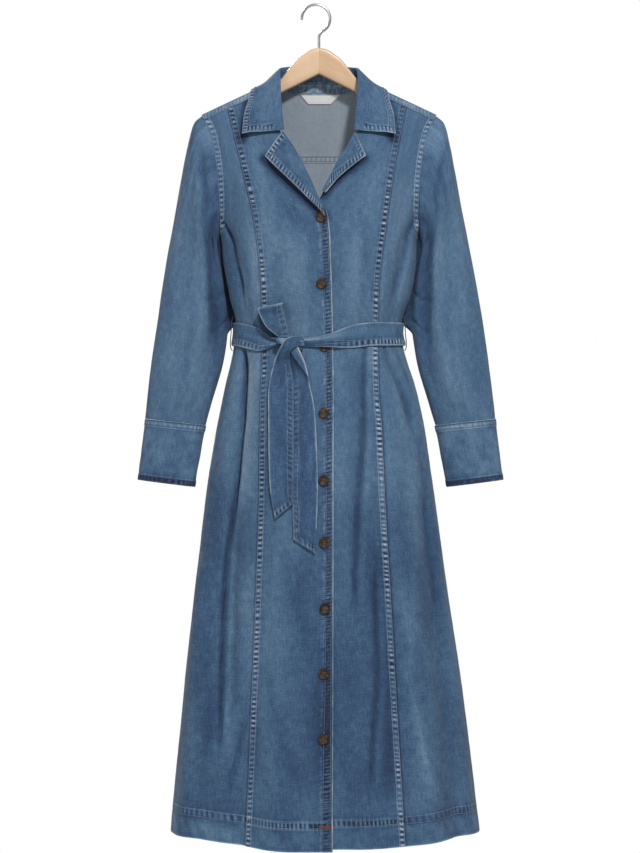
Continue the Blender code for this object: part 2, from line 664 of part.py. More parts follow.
Turn = namedtuple("Turn", "roll_x roll_z edge_x edge_z")
LAPELS = {  # from the notch down to where the front starts to button
    "right": [
        Turn(-0.0590, -0.2180, -0.0887, -0.2565),
        Turn(-0.0450, -0.2365, -0.0690, -0.2760),
        Turn(-0.0312, -0.2601, -0.0476, -0.2962),
        Turn(-0.0148, -0.2929, -0.0190, -0.3240),
        Turn(-0.0016, -0.3224, 0.0030, -0.3440),
        Turn(0.0060, -0.3360, 0.0120, -0.3520),
    ],
    "left": [
        Turn(0.0580, -0.2180, 0.0772, -0.2560),
        Turn(0.0443, -0.2436, 0.0560, -0.2712),
        Turn(0.0312, -0.2633, 0.0400, -0.2840),
        Turn(0.0181, -0.2896, 0.0225, -0.2990),
        Turn(0.0050, -0.3130, 0.0085, -0.3160),
    ],
}
LAPEL_ROLL = 0.0052  # the fold stands this far out, to the middle of the wall
LAPEL_TOP_ROLL = 0.0030  # and this much more beside the collar
LAPEL_EDGE = 0.0019


def make_lapels(denim):
    for side, rows in LAPELS.items():
        table = through([[r.roll_x, r.roll_z, r.edge_x, r.edge_z] for r in rows], 9)
        t = np.linspace(0, 1, 6)
        x = table[:, :1] * (1 - t) + table[:, 2:3] * t
        z = table[:, 1:2] * (1 - t) + table[:, 3:] * t
        roll = LAPEL_ROLL + LAPEL_TOP_ROLL * ease((z[:, :1] + 0.262) / 0.05)
        proud = LAPEL_EDGE + (roll - LAPEL_EDGE) * (1 - t) ** 2 + 0.002 * np.sin(pi * t)
        grid = front(x, z, proud)
        wall_on(f"lapel_{side}", grid, DOUBLE_WALL, denim)


# ---------------------------------------------------------------- belt
BELT_Z = -0.5475
BELT_HALF = 0.0195
BELT_CLEAR = 0.0029  # from the body to the middle of the belt's wall
KNOT = (-0.0465, -0.5650)
KNOT_HALF = (0.0195, 0.0090, 0.0130)
BELT_ENDS = (-0.0680, -0.0252)  # x of the band's two ends, at the knot
BELT_TAPER = 0.036  # the band narrows over this length, into the knot
BELT_END_HALF = 0.0075
Button = namedtuple("Button", "x z")
BUTTONS = [
    Button(0.0034, -0.3566),
    Button(0.0041, -0.4660),
    Button(0.0088, -0.5694),
    Button(0.0077, -0.6790),
    Button(0.0077, -0.7890),
    Button(0.0086, -0.8900),
    Button(0.0096, -0.9970),
    Button(0.0075, -1.1030),
    Button(0.0072, -1.2090),
]
BUTTON_RADIUS = 0.0088
BUTTON_HEIGHT = 0.0030
HIDDEN_BUTTON = 2

Strip = namedtuple("Strip", "left_x left_z right_x right_z proud")
TAILS = {
    "front": [
        Strip(-0.0620, -0.5800, -0.0440, -0.5800, 0.0090),
        Strip(-0.0735, -0.6000, -0.0425, -0.6000, 0.0080),
        Strip(-0.0795, -0.6350, -0.0415, -0.6350, 0.0068),
        Strip(-0.0798, -0.6900, -0.0415, -0.6900, 0.0062),
        Strip(-0.0795, -0.7500, -0.0415, -0.7450, 0.0062),
        Strip(-0.0770, -0.8090, -0.0420, -0.7900, 0.0062),
        Strip(-0.0700, -0.8510, -0.0430, -0.8275, 0.0062),
    ],
    "rear": [
        Strip(-0.0425, -0.5800, -0.0315, -0.5780, 0.0060),
        Strip(-0.0410, -0.6000, -0.0245, -0.5970, 0.0045),
        Strip(-0.0440, -0.6350, -0.0145, -0.6350, 0.0030),
        Strip(-0.0440, -0.6760, -0.0070, -0.6740, 0.0026),
        Strip(-0.0440, -0.7400, -0.0035, -0.7400, 0.0026),
        Strip(-0.0440, -0.8100, -0.0020, -0.8100, 0.0028),
        Strip(-0.0420, -0.8850, -0.0060, -0.9080, 0.0036),
    ],
}
LOOP = [  # up from the knot, over the top fold and down behind
    Strip(-0.0640, -0.5552, -0.0505, -0.5482, 0.0155),
    Strip(-0.0740, -0.5465, -0.0515, -0.5400, 0.0185),
    Strip(-0.0850, -0.5340, -0.0555, -0.5200, 0.0215),
    Strip(-0.0970, -0.5080, -0.0600, -0.5010, 0.0205),
    Strip(-0.0985, -0.5040, -0.0603, -0.4970, 0.0138),
    Strip(-0.0995, -0.5080, -0.0607, -0.5010, 0.0076),
    Strip(-0.0985, -0.5250, -0.0620, -0.5180, 0.0074),
    Strip(-0.0915, -0.5440, -0.0640, -0.5340, 0.0074),
    Strip(-0.0800, -0.5560, -0.0690, -0.5470, 0.0074),
]


def make_belt_band(denim):
    start, end = (float(angle_at(x, BELT_Z)) for x in BELT_ENDS)
    first, round_back, last = np.linspace(0, 0.16, 7), np.linspace(0.16, 0.86, 22), np.linspace(0.86, 1, 8)
    turn = np.concatenate([first, round_back[1:], last[1:]])
    angle = start + turn * (end - 2 * pi - start)
    lengths = np.abs(turn) * 0.66, np.abs(1 - turn) * 0.66
    near = ease(np.minimum(*lengths) / BELT_TAPER)
    half = BELT_END_HALF + (BELT_HALF - BELT_END_HALF) * near
    middle = BELT_Z + (KNOT[1] + 0.002 - BELT_Z) * np.exp(-((np.minimum(*lengths) / 0.06) ** 2))
    across = np.linspace(-1, 1, 4)[:, None]
    z = middle + half * across
    u = np.broadcast_to(angle, z.shape)
    hidden = BUTTONS[HIDDEN_BUTTON]
    plain = body(u, z)
    away = np.hypot(plain[..., 0] - hidden.x, 0.8 * (z - hidden.z))
    over_button = (BUTTON_HEIGHT + 0.0008) * np.exp(-((away / 0.020) ** 4)) * (plain[..., 1] < 0)
    wall_object(
        "belt_band",
        moved_out(body, u, z, BELT_CLEAR + BELT_WALL / 2 + over_button),
        moved_out(body, u, z, BELT_CLEAR - BELT_WALL / 2 + over_button),
        denim,
    )


def ribbon(name, strips, rows, columns, material):
    """A flat band laid over the front by its two edges and its distance from the body."""
    table = through([list(s) for s in strips], rows)
    t = np.linspace(0, 1, columns)
    x = table[:, :1] * (1 - t) + table[:, 2:3] * t
    z = table[:, 1:2] * (1 - t) + table[:, 3:4] * t
    wall_on(name, front(x, z, table[:, 4:] + 0 * x), BELT_WALL, material)


def make_knot(denim):
    bm = bmesh.new()
    bmesh.ops.create_uvsphere(bm, u_segments=14, v_segments=9, radius=1)
    for v in bm.verts:
        v.co = Vector([np.sign(c) * abs(c) ** 0.8 for c in v.co])
    centre = front(KNOT[0], KNOT[1], KNOT_HALF[1] + 0.0012)
    tilt = Matrix.Rotation(radians(14), 4, "Y")
    placed = Matrix.Translation(centre) @ tilt @ Matrix.Diagonal((*KNOT_HALF, 1))
    bmesh.ops.transform(bm, matrix=placed, verts=bm.verts)
    finished("belt_knot", bm, denim)


def swept(name, path, radius, sides, material):
    """A round wire along a path, with flat ends."""
    path = [Vector(p) for p in path]
    bm = bmesh.new()
    rings, up = [], Vector((0, 1, 0))
    for k, p in enumerate(path):
        ahead = (path[min(k + 1, len(path) - 1)] - path[max(k - 1, 0)]).normalized()
        side = ahead.cross(up).normalized()
        other = side.cross(ahead)
        turn = [2 * pi * i / sides for i in range(sides)]
        rings.append([bm.verts.new(p + radius * (cos(a) * side + sin(a) * other)) for a in turn])
    for one, two in zip(rings, rings[1:]):
        for i in range(sides):
            bm.faces.new((one[i], one[(i + 1) % sides], two[(i + 1) % sides], two[i]))
    bm.faces.new(rings[0])
    bm.faces.new(rings[-1])
    return finished(name, bm, material)


Arch = namedtuple("Arch", "z proud")
CARRIER = [
    Arch(-0.5160, 0.0014),
    Arch(-0.5230, 0.0048),
    Arch(-0.5340, 0.0066),
    Arch(-0.5480, 0.0070),
    Arch(-0.5620, 0.0066),
    Arch(-0.5730, 0.0048),
    Arch(-0.5800, 0.0014),
]
CARRIER_RADIUS = 0.0009


def make_carriers(thread):
    for name, angle in (("right", -pi / 2), ("left", pi / 2)):
        path = through([moved_out(body, np.array(angle), np.array(a.z), a.proud) for a in CARRIER], 13)
        swept(f"belt_carrier_{name}", path, CARRIER_RADIUS, 6, thread)


def make_belt(denim, thread):
    make_belt_band(denim)
    make_knot(denim)
    ribbon("belt_loop", LOOP, 17, 4, denim)
    for name, strips in TAILS.items():
        ribbon(f"belt_tail_{name}", strips, 13, 4, denim)
    make_carriers(thread)


# ---------------------------------------------------------------- buttons and label
def make_buttons(horn):
    """Each a turned disc with a raised rim, square to the cloth under it."""
    profile = [(0.85, 0.0), (1.0, 0.35), (0.90, 1.0), (0.62, 0.72)]
    segments = 12
    for number, place in enumerate(BUTTONS):
        base = Vector(front(place.x, place.z, 2 * GAP))
        outward = (Vector(front(place.x, place.z, 0.01)) - base).normalized()
        bm = bmesh.new()
        rings = []
        for share, height in profile:
            r, h = BUTTON_RADIUS * share, BUTTON_HEIGHT * height
            turns = np.linspace(0, 2 * pi, segments + 1)[:-1]
            rings.append([bm.verts.new((r * cos(a), r * sin(a), h)) for a in turns])
        for one, two in zip(rings, rings[1:]):
            for i in range(segments):
                bm.faces.new((one[i], one[(i + 1) % segments], two[(i + 1) % segments], two[i]))
        bm.faces.new(rings[0])
        bm.faces.new(rings[-1])
        turn = outward.to_track_quat("Z", "Y").to_matrix().to_4x4()
        bmesh.ops.transform(bm, matrix=Matrix.Translation(base) @ turn, verts=bm.verts)
        finished(f"button_{number + 1}", bm, horn)


LABEL = [Strip(-0.0310, -0.1445, 0.0360, -0.1445, 0), Strip(-0.0184, -0.1590, 0.0201, -0.1590, 0)]
LABEL_WALL = 0.0010


def make_label(cotton):
    table = through([list(s) for s in LABEL], 4)
    t = np.linspace(0, 1, 7)
    x = table[:, :1] * (1 - t) + table[:, 2:3] * t
    z = table[:, 1:2] + 0 * x
    angle = pi - angle_at(x, z)
    near, far = -WALL - 0.0005, -WALL - 0.0005 - LABEL_WALL
    sides = [moved_out(body, angle, z, proud + 0 * x) for proud in (near, far)]
    wall_object("neck_label", *sides, cotton)


# ---------------------------------------------------------------- hanger
Dome = namedtuple("Dome", "x z")
DOME = [  # the hanger's top between the two sides of the neck
    Dome(0.0000, -0.0700),
    Dome(0.0135, -0.0728),
    Dome(0.0270, -0.0815),
    Dome(0.0375, -0.0900),
    Dome(0.0510, -0.1067),
    Dome(0.0630, -0.1220),
]
HANGER_HALF_THICK = 0.0068
HANGER_DROP = 0.0026  # its arms lie this far below the shoulder line
HANGER_END_X = 0.186
HANGER_APEX_Z = -0.115
HANGER_ARM = 0.0225
WIRE_RADIUS = 0.0022
HOOK_RADIUS = 0.0236
STEM_X = 0.0  # from the dress's middle plane
HOOK_LAST_ANGLE = -60


def hanger_top(x):
    if x > DOME[-1].x:
        return float(ridge(x)) - HANGER_DROP
    return float(np.interp(x, [d.x for d in DOME], [d.z for d in DOME]))


def make_hanger(wood):
    half = [0.0, 0.009, 0.018, 0.027, 0.0375, 0.0465, 0.055, 0.063]
    half += [0.085, 0.110, 0.135, 0.160, 0.178, HANGER_END_X]
    stations = [-x for x in half[:0:-1]] + half
    bm = bmesh.new()
    rings = []
    for x in stations:
        away = abs(x)
        top = hanger_top(away)
        bottom = max(HANGER_APEX_Z - 0.47 * away, top - 0.045) if away < 0.064 else top - HANGER_ARM
        bottom = bottom if away < 0.17 else bottom + 0.35 * (away - 0.17)
        r = HANGER_HALF_THICK
        loop = [(r * sin(a), top - r + r * cos(a)) for a in np.linspace(-pi / 2, pi / 2, 7)]
        loop += [(r, bottom + 0.004), (0.55 * r, bottom), (-0.55 * r, bottom), (-r, bottom + 0.004)]
        rings.append([bm.verts.new((x, y, z)) for y, z in loop])
    for one, two in zip(rings, rings[1:]):
        for i in range(len(one)):
            k = (i + 1) % len(one)
            bm.faces.new((one[i], one[k], two[k], two[i]))
    bm.faces.new(rings[0])
    bm.faces.new(rings[-1])
    finished("hanger_body", bm, wood)


def make_hook(metal):
    """A half circle and more over the origin, a bend back and a straight stem down to the wood."""
    centre_z = WIRE_RADIUS - HOOK_RADIUS
    big = [radians(a) for a in np.linspace(180, HOOK_LAST_ANGLE, 17)]
    path = [(-CENTRE_X + HOOK_RADIUS * cos(a), 0, centre_z + HOOK_RADIUS * sin(a)) for a in big]
    end_x, _, end_z = path[-1]
    total = radians(-HOOK_LAST_ANGLE)
    bend = (end_x - STEM_X) / (1 - cos(total))
    for a in np.linspace(total, 0, 7)[1:]:
        path.append((STEM_X + bend * (1 - cos(a)), 0, end_z - bend * (sin(total) - sin(a))))
    stem_end = hanger_top(0.0) + GAP
    path.append((STEM_X, 0, (path[-1][2] + stem_end) / 2))
    path.append((STEM_X, 0, stem_end))
    swept("hanger_hook", path, WIRE_RADIUS, 12, metal)


# ---------------------------------------------------------------- materials and the whole
def material(name, colour, roughness, metallic=0.0):
    made = bpy.data.materials.new(name)
    made.use_nodes = True
    shader = made.node_tree.nodes["Principled BSDF"]
    shader.inputs["Base Color"].default_value = (*colour, 1)
    shader.inputs["Roughness"].default_value = roughness
    shader.inputs["Metallic"].default_value = metallic
    return made


def main():
    for old in list(bpy.data.objects):
        bpy.data.objects.remove(old)
    denim = material("denim", (0.10, 0.20, 0.35), 0.85)
    thread = material("thread", (0.16, 0.10, 0.07), 0.8)
    horn = material("horn", (0.09, 0.045, 0.03), 0.35)
    cotton = material("label_cotton", (0.80, 0.80, 0.78), 0.8)
    wood = material("wood", (0.66, 0.46, 0.28), 0.5)
    metal = material("steel", (0.60, 0.60, 0.60), 0.25, 1.0)
    make_center_fronts(denim)
    make_side_fronts(denim)
    make_back_panels(denim)
    make_yoke(denim)
    make_sleeves(denim)
    make_collar(denim)
    make_lapels(denim)
    make_belt(denim, thread)
    make_buttons(horn)
    make_label(cotton)
    make_hanger(wood)
    make_hook(metal)


main()
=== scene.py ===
from collections import namedtuple
from math import acos, cos, pi, radians, sin

import bmesh
import bpy
import numpy as np
from mathutils import Matrix, Vector


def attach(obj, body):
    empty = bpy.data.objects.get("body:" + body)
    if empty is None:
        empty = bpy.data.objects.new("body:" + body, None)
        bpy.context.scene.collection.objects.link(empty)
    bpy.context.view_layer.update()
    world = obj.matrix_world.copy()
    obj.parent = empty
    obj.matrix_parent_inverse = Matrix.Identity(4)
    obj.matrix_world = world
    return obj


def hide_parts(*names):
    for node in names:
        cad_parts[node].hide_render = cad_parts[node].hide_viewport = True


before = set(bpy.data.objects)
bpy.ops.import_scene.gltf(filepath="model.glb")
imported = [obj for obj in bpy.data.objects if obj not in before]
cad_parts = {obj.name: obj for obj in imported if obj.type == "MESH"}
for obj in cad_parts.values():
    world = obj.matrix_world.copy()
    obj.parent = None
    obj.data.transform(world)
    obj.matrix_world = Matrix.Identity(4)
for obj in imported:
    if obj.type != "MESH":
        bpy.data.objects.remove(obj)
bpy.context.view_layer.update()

# Looks of a denim shirt dress on a wooden hanger. Metres, +Z up, the dress faces -Y.
# The sizes and surfaces down to "fine cloth" are the ones that the part's source works with,
# but the belt's tails start earlier here, over and under the knot.


def table(columns, *rows):
    """A table's rows, with the columns named."""
    row = namedtuple("Row", columns)
    return [row(*values) for values in rows]


CENTRE_X = 0.005  # the dress's middle plane, beside the hook's top
WALL = 0.0016  # denim with its seams pressed flat
DOUBLE_WALL = 0.0024  # collar, lapels and cuffs are two layers
BELT_WALL = 0.0030
GAP = 0.0003  # between pieces that touch
SEAM_RISE = 0.0008  # how far a felled seam stands out
SEAM_WIDTH = 0.010
STRIP = 0.0126  # the long seams' pressed strips, with their worn borders
HEM_STRIP = 0.0132
ARM_STRIP = 0.0112
YOKE_STRIP = 0.0115
RIDGE_TOP = -0.0863  # height of the shoulder line, carried on to the middle
RIDGE_SLOPE = 0.48
RIDGE_ROUND = 0.030  # rounds the shoulder line where it would meet itself in the middle
FOLD_RADIUS = 0.010  # the cloth's bend over the hanger
CHEST_DROP = 0.16  # below the shoulder line, the chest has its whole depth
CHEST_BLEND = 0.08  # above the underarm, the section goes over into the shoulders' one
SECTION_POWER = 2.4  # superellipse power of the body's cross-section
SEAM_FORWARD = 0.013  # the shoulder seam lies this far below the shoulder line, in front
NECK_HALF_WIDTH = 0.072
BACK_NECK_Z = -0.141
YOKE_SEAM_Z = -0.249
UNDERARM_Z = -0.385
HEM_Z = -1.387
HEM_DEPTH = 0.042
HEM_SIDE_LIFT = 0.0150
LOW_SKIRT_Z = -0.900  # from here down the rows start to rise at the sides
HEM_WALL = 0.0028
LAP_DIP = 0.0024  # how far the under front sinks below the upper one
LAP_HIDDEN_X = -0.012  # the under front's hidden edge
SECTION = "outer_x outer_z inner_x inner_z half_depth centre_y"  # a sleeve's or a cuff's ring
TURN = "roll_x roll_z edge_x edge_z"  # a lapel's row, from its roll to its edge
STRIP_ROW = "left_x left_z right_x right_z proud"  # a row across a ribbon
RINGS = table(  # the body's sections; above the underarm the half width is the section's, cut off at the armhole
    "z centre half_width front back",
    (-0.060, 0.000, 0.300, 0.048, 0.043),
    (-0.140, 0.000, 0.300, 0.050, 0.044),
    (-0.200, 0.000, 0.262, 0.056, 0.046),
    (-0.250, 0.000, 0.232, 0.060, 0.048),
    (-0.290, 0.000, 0.207, 0.063, 0.050),
    (-0.330, 0.000, 0.186, 0.066, 0.052),
    (-0.360, 0.000, 0.1725, 0.067, 0.053),
    (-0.385, 0.000, 0.1640, 0.067, 0.054),
    (-0.425, 0.001, 0.1610, 0.065, 0.053),
    (-0.465, 0.002, 0.1550, 0.061, 0.051),
    (-0.492, 0.001, 0.1490, 0.058, 0.049),
    (-0.512, 0.000, 0.1420, 0.055, 0.047),
    (-0.529, -0.001, 0.1385, 0.053, 0.046),
    (-0.567, -0.001, 0.1410, 0.054, 0.047),
    (-0.590, 0.000, 0.1455, 0.057, 0.049),
    (-0.627, 0.0017, 0.1562, 0.062, 0.053),
    (-0.687, 0.0027, 0.1697, 0.070, 0.060),
    (-0.767, 0.0027, 0.1827, 0.077, 0.066),
    (-0.907, 0.0037, 0.2017, 0.087, 0.074),
    (-1.007, 0.0047, 0.2147, 0.093, 0.079),
    (-1.107, 0.0067, 0.2282, 0.098, 0.083),
    (-1.207, 0.0087, 0.2392, 0.103, 0.087),
    (-1.307, 0.0097, 0.2502, 0.108, 0.091),
    (-1.400, 0.0107, 0.2597, 0.113, 0.095),
)
ARMHOLE = table(  # the seam's distance from the middle, from the shoulder to the underarm
    "z x",
    (-0.160, 0.201),
    (-0.182, 0.196),
    (-0.205, 0.184),
    (-0.245, 0.173),
    (-0.292, 0.1665),
    (-0.330, 0.1640),
    (-0.360, 0.1635),
    (-0.385, 0.1640),
)
PRINCESS = table(  # x of the two front seams
    "z right left",
    (-0.140, -0.1565, 0.1490),
    (-0.165, -0.1525, 0.1450),
    (-0.260, -0.1305, 0.1270),
    (-0.360, -0.1075, 0.1115),
    (-0.460, -0.0960, 0.0995),
    (-0.550, -0.0940, 0.0970),
    (-0.690, -0.0960, 0.1010),
    (-0.860, -0.0985, 0.1090),
    (-1.000, -0.1035, 0.1175),
    (-1.200, -0.1125, 0.1290),
    (-1.400, -0.1215, 0.1415),
)
FRONT_EDGE = table(  # x of each front's inner edge: neck, roll line of the lapel, then the buttoning edge
    "z right left",
    (-0.125, -0.072, 0.072),
    (-0.165, -0.070, 0.070),
    (-0.2156, -0.063, 0.0615),
    (-0.2469, -0.0424, 0.0455),
    (-0.2601, -0.0342, 0.0365),
    (-0.2929, -0.0178, 0.0195),
    (-0.3224, -0.0046, 0.0030),
    (-0.3470, 0.0130, LAP_HIDDEN_X),
    (-0.3700, 0.0170, LAP_HIDDEN_X),
    (-0.4225, 0.0197, LAP_HIDDEN_X),
    (-0.5370, 0.0230, LAP_HIDDEN_X),
    (-0.8000, 0.0240, LAP_HIDDEN_X),
    (-1.4000, 0.0226, LAP_HIDDEN_X),
)
FOLDS = table(  # depth is outwards; the path is (height, angle in degrees from the middle of the front)
    "depth half_width path",
    (-0.008, 0.013, ((-0.345, -66), (-0.430, -56), (-0.510, -57))),
    (-0.012, 0.016, ((-0.560, -58), (-0.640, -48), (-0.740, -46), (-0.900, -44), (-1.190, -38))),
    (-0.007, 0.014, ((-0.345, 63), (-0.430, 54), (-0.510, 52))),
    (-0.008, 0.014, ((-0.560, 49), (-0.620, 54), (-0.720, 58))),
    (0.007, 0.030, ((-0.600, -24), (-0.800, -20), (-1.100, -16), (-1.400, -14))),
    (-0.007, 0.024, ((-0.575, 22), (-0.700, 17), (-0.920, 12), (-1.150, 14))),
    (0.010, 0.034, ((-0.650, 34), (-0.900, 36), (-1.100, 37), (-1.400, 38))),
    (-0.008, 0.026, ((-0.800, 60), (-1.100, 58), (-1.400, 56))),
    (-0.007, 0.026, ((-1.150, -30), (-1.300, -29), (-1.400, -28))),
    (0.009, 0.036, ((-0.900, -66), (-1.150, -64), (-1.400, -62))),
    (-0.012, 0.024, ((-0.570, 130), (-0.900, 136), (-1.400, 140))),
    (0.010, 0.034, ((-0.640, 158), (-0.950, 160), (-1.400, 162))),
    (-0.010, 0.026, ((-0.575, 184), (-0.900, 182), (-1.250, 181))),
    (0.010, 0.034, ((-0.640, 206), (-0.950, 204), (-1.400, 202))),
    (-0.012, 0.024, ((-0.570, 232), (-0.900, 227), (-1.400, 222))),
    (-0.007, 0.014, ((-0.400, 128), (-0.460, 134), (-0.525, 140))),
    (-0.007, 0.014, ((-0.400, 232), (-0.460, 226), (-0.525, 220))),
)
FOLD_FADE = 0.055  # a fold starts and ends over this length
MEAN_RADIUS = 0.575  # of a section, as a share of its half width and depth together
SLEEVE = table(  # the flattened tube's sections, from the armhole to the cuff; x is the distance from the middle
    SECTION,
    (0.1950, -0.1850, 0.1640, -0.3850, 0.036, 0.000),
    (0.2085, -0.1970, 0.1660, -0.3950, 0.040, 0.003),
    (0.2175, -0.2270, 0.1672, -0.4040, 0.043, 0.006),
    (0.2250, -0.2630, 0.1668, -0.4150, 0.045, 0.009),
    (0.2333, -0.3070, 0.1625, -0.4340, 0.046, 0.014),
    (0.2450, -0.3700, 0.1550, -0.4700, 0.046, 0.020),
    (0.2583, -0.4430, 0.1510, -0.5070, 0.042, 0.019),
    (0.2700, -0.5200, 0.1530, -0.5430, 0.036, 0.014),
    (0.2792, -0.5870, 0.1615, -0.6000, 0.031, 0.010),
    (0.2858, -0.6480, 0.1785, -0.6600, 0.027, 0.008),
    (0.2900, -0.6880, 0.1895, -0.6990, 0.024, 0.007),
)
CUFF = table(
    SECTION,
    (0.2903, -0.6884, 0.1892, -0.6994, 0.025, 0.007),
    (0.2962, -0.7390, 0.1985, -0.7500, 0.025, 0.006),
    (0.3020, -0.7895, 0.2075, -0.8015, 0.024, 0.005),
)
SWING = {"right": 0.0, "left": 0.0060}  # how far each cuff hangs out from its sleeve's straight line
SLEEVE_POWER = 2.3
SLEEVE_FOLD = -0.006  # the long fold on the inner side of the front
SLEEVE_FOLD_ANGLE = radians(122)
SLEEVE_FOLD_SPREAD = 0.30
ARMHOLE_CLEAR = 0.0005  # the sleeve starts this far outside the armhole's edge
UNDERARM_CLEAR = 0.0012
COLLAR = table(  # from the middle of the back to the notch; neck: 0 to 1 round the yoke, to 2 down the front
    "neck roll mid_x mid_z mid_proud edge_x edge_z edge_proud behind",
    (0.00, (0.0000, 0.0275, -0.0975), 0.000, -0.1220, 0.0165, 0.0000, -0.1500, 0.0044, 1),
    (0.30, (0.0320, 0.0255, -0.0985), 0.040, -0.1240, 0.0165, 0.0500, -0.1500, 0.0044, 1),
    (0.60, (0.0555, 0.0170, -0.1010), 0.074, -0.1300, 0.0115, 0.0880, -0.1500, 0.0036, 1),
    (0.85, (0.0650, -0.0030, -0.1060), 0.088, -0.1303, 0.0036, 0.1090, -0.1410, 0.0022, 1),
    (1.00, (0.0655, -0.0210, -0.1240), 0.091, -0.1440, 0.0040, 0.1160, -0.1560, 0.0022, -1),
    (1.45, (0.0645, -0.0390, -0.1590), 0.094, -0.1750, 0.0070, 0.1210, -0.1860, 0.0034, -1),
    (2.00, (0.0605, -0.0540, -0.2130), 0.095, -0.2175, 0.0055, 0.1245, -0.2215, 0.0032, -1),
)
NECK_CLEAR = 0.0017  # from the neck's edge to the middle of the collar's wall
NOTCH_Z = -0.2130
LAPELS = {  # from the notch down to where the front starts to button
    "right": table(
        TURN,
        (-0.0590, -0.2180, -0.0887, -0.2565),
        (-0.0450, -0.2365, -0.0690, -0.2760),
        (-0.0312, -0.2601, -0.0476, -0.2962),
        (-0.0148, -0.2929, -0.0190, -0.3240),
        (-0.0016, -0.3224, 0.0030, -0.3440),
        (0.0060, -0.3360, 0.0120, -0.3520),
    ),
    "left": table(
        TURN,
        (0.0580, -0.2180, 0.0772, -0.2560),
        (0.0443, -0.2436, 0.0560, -0.2712),
        (0.0312, -0.2633, 0.0400, -0.2840),
        (0.0181, -0.2896, 0.0225, -0.2990),
        (0.0050, -0.3130, 0.0085, -0.3160),
    ),
}
LAPEL_ROLL = 0.0052  # the fold stands this far out, to the middle of the wall
LAPEL_TOP_ROLL = 0.0030  # and this much more beside the collar
LAPEL_EDGE = 0.0019
BELT_Z = -0.5475
BELT_HALF = 0.0195
BELT_CLEAR = 0.0029  # from the body to the middle of the belt's wall
KNOT = (-0.0465, -0.5650)
KNOT_HALF = (0.0195, 0.0090, 0.0130)
BELT_ENDS = (-0.0680, -0.0252)  # x of the band's two ends, at the knot
BELT_TAPER = 0.036  # the band narrows over this length, into the knot
LEFT_TAPER = 0.060  # on the dress's left
BELT_END_HALF = 0.0075
BUTTONS = table(
    "x z",
    (0.0034, -0.3566),
    (0.0041, -0.4660),
    (0.0088, -0.5694),
    (0.0077, -0.6790),
    (0.0077, -0.7890),
    (0.0086, -0.8900),
    (0.0096, -0.9970),
    (0.0075, -1.1030),
    (0.0072, -1.2090),
)
BUTTON_RADIUS = 0.0088
BUTTON_HEIGHT = 0.0030
HIDDEN_BUTTON = 2
TAILS = {
    "front": table(  # up over the knot, behind it and down
        STRIP_ROW,
        (-0.0340, -0.5535, -0.0225, -0.5630, 0.0110),
        (-0.0440, -0.5548, -0.0300, -0.5690, 0.0195),
        (-0.0530, -0.5600, -0.0400, -0.5750, 0.0222),
        (-0.0598, -0.5714, -0.0450, -0.5806, 0.0210),
        (-0.0668, -0.5845, -0.0462, -0.5890, 0.0150),
        (-0.0728, -0.5976, -0.0450, -0.5980, 0.0095),
        (-0.0795, -0.6350, -0.0415, -0.6350, 0.0068),
        (-0.0798, -0.6900, -0.0415, -0.6900, 0.0062),
        (-0.0795, -0.7500, -0.0415, -0.7450, 0.0062),
        (-0.0770, -0.8090, -0.0420, -0.7900, 0.0062),
        (-0.0700, -0.8510, -0.0430, -0.8275, 0.0062),
    ),
    "rear": table(  # out from under the knot
        STRIP_ROW,
        (-0.0490, -0.5660, -0.0370, -0.5640, 0.0120),
        (-0.0480, -0.5745, -0.0335, -0.5715, 0.0150),
        (-0.0470, -0.5825, -0.0285, -0.5825, 0.0128),
        (-0.0455, -0.5940, -0.0240, -0.5930, 0.0082),
        (-0.0445, -0.6080, -0.0200, -0.6060, 0.0048),
        (-0.0440, -0.6350, -0.0145, -0.6350, 0.0030),
        (-0.0440, -0.6760, -0.0070, -0.6740, 0.0026),
        (-0.0440, -0.7400, -0.0035, -0.7400, 0.0026),
        (-0.0440, -0.8100, -0.0020, -0.8100, 0.0028),
        (-0.0420, -0.8850, -0.0060, -0.9080, 0.0036),
    ),
}
LOOP = table(  # up from the knot, over the top fold and down behind
    STRIP_ROW,
    (-0.0640, -0.5552, -0.0485, -0.5490, 0.0155),
    (-0.0735, -0.5465, -0.0490, -0.5400, 0.0185),
    (-0.0835, -0.5340, -0.0530, -0.5200, 0.0215),
    (-0.0940, -0.5080, -0.0572, -0.5010, 0.0205),
    (-0.0952, -0.5040, -0.0575, -0.4970, 0.0138),
    (-0.0970, -0.5080, -0.0585, -0.5010, 0.0076),
    (-0.0985, -0.5250, -0.0620, -0.5180, 0.0074),
    (-0.0915, -0.5440, -0.0640, -0.5340, 0.0074),
    (-0.0800, -0.5560, -0.0690, -0.5470, 0.0074),
)
CARRIER = table(
    "z proud",
    (-0.5160, 0.0014),
    (-0.5230, 0.0048),
    (-0.5340, 0.0066),
    (-0.5480, 0.0070),
    (-0.5610, 0.0066),
    (-0.5700, 0.0048),
    (-0.5750, 0.0014),
)
LABEL = table(STRIP_ROW, (-0.0310, -0.1445, 0.0360, -0.1445, 0), (-0.0184, -0.1590, 0.0201, -0.1590, 0))
LABEL_WALL = 0.0010
DOME = table(  # the hanger's top between the two sides of the neck
    "x z",
    (0.0000, -0.0700),
    (0.0135, -0.0728),
    (0.0270, -0.0815),
    (0.0375, -0.0900),
    (0.0510, -0.1067),
    (0.0630, -0.1220),
)
HANGER_HALF_THICK = 0.0068
HANGER_DROP = 0.0026  # its arms lie this far below the shoulder line
HANGER_END_X = 0.186
HANGER_APEX_Z = -0.115
HANGER_ARM = 0.0225
WIRE_RADIUS = 0.0022
HOOK_RADIUS = 0.0236
STEM_X = 0.0  # from the dress's middle plane
HOOK_LAST_ANGLE = -60


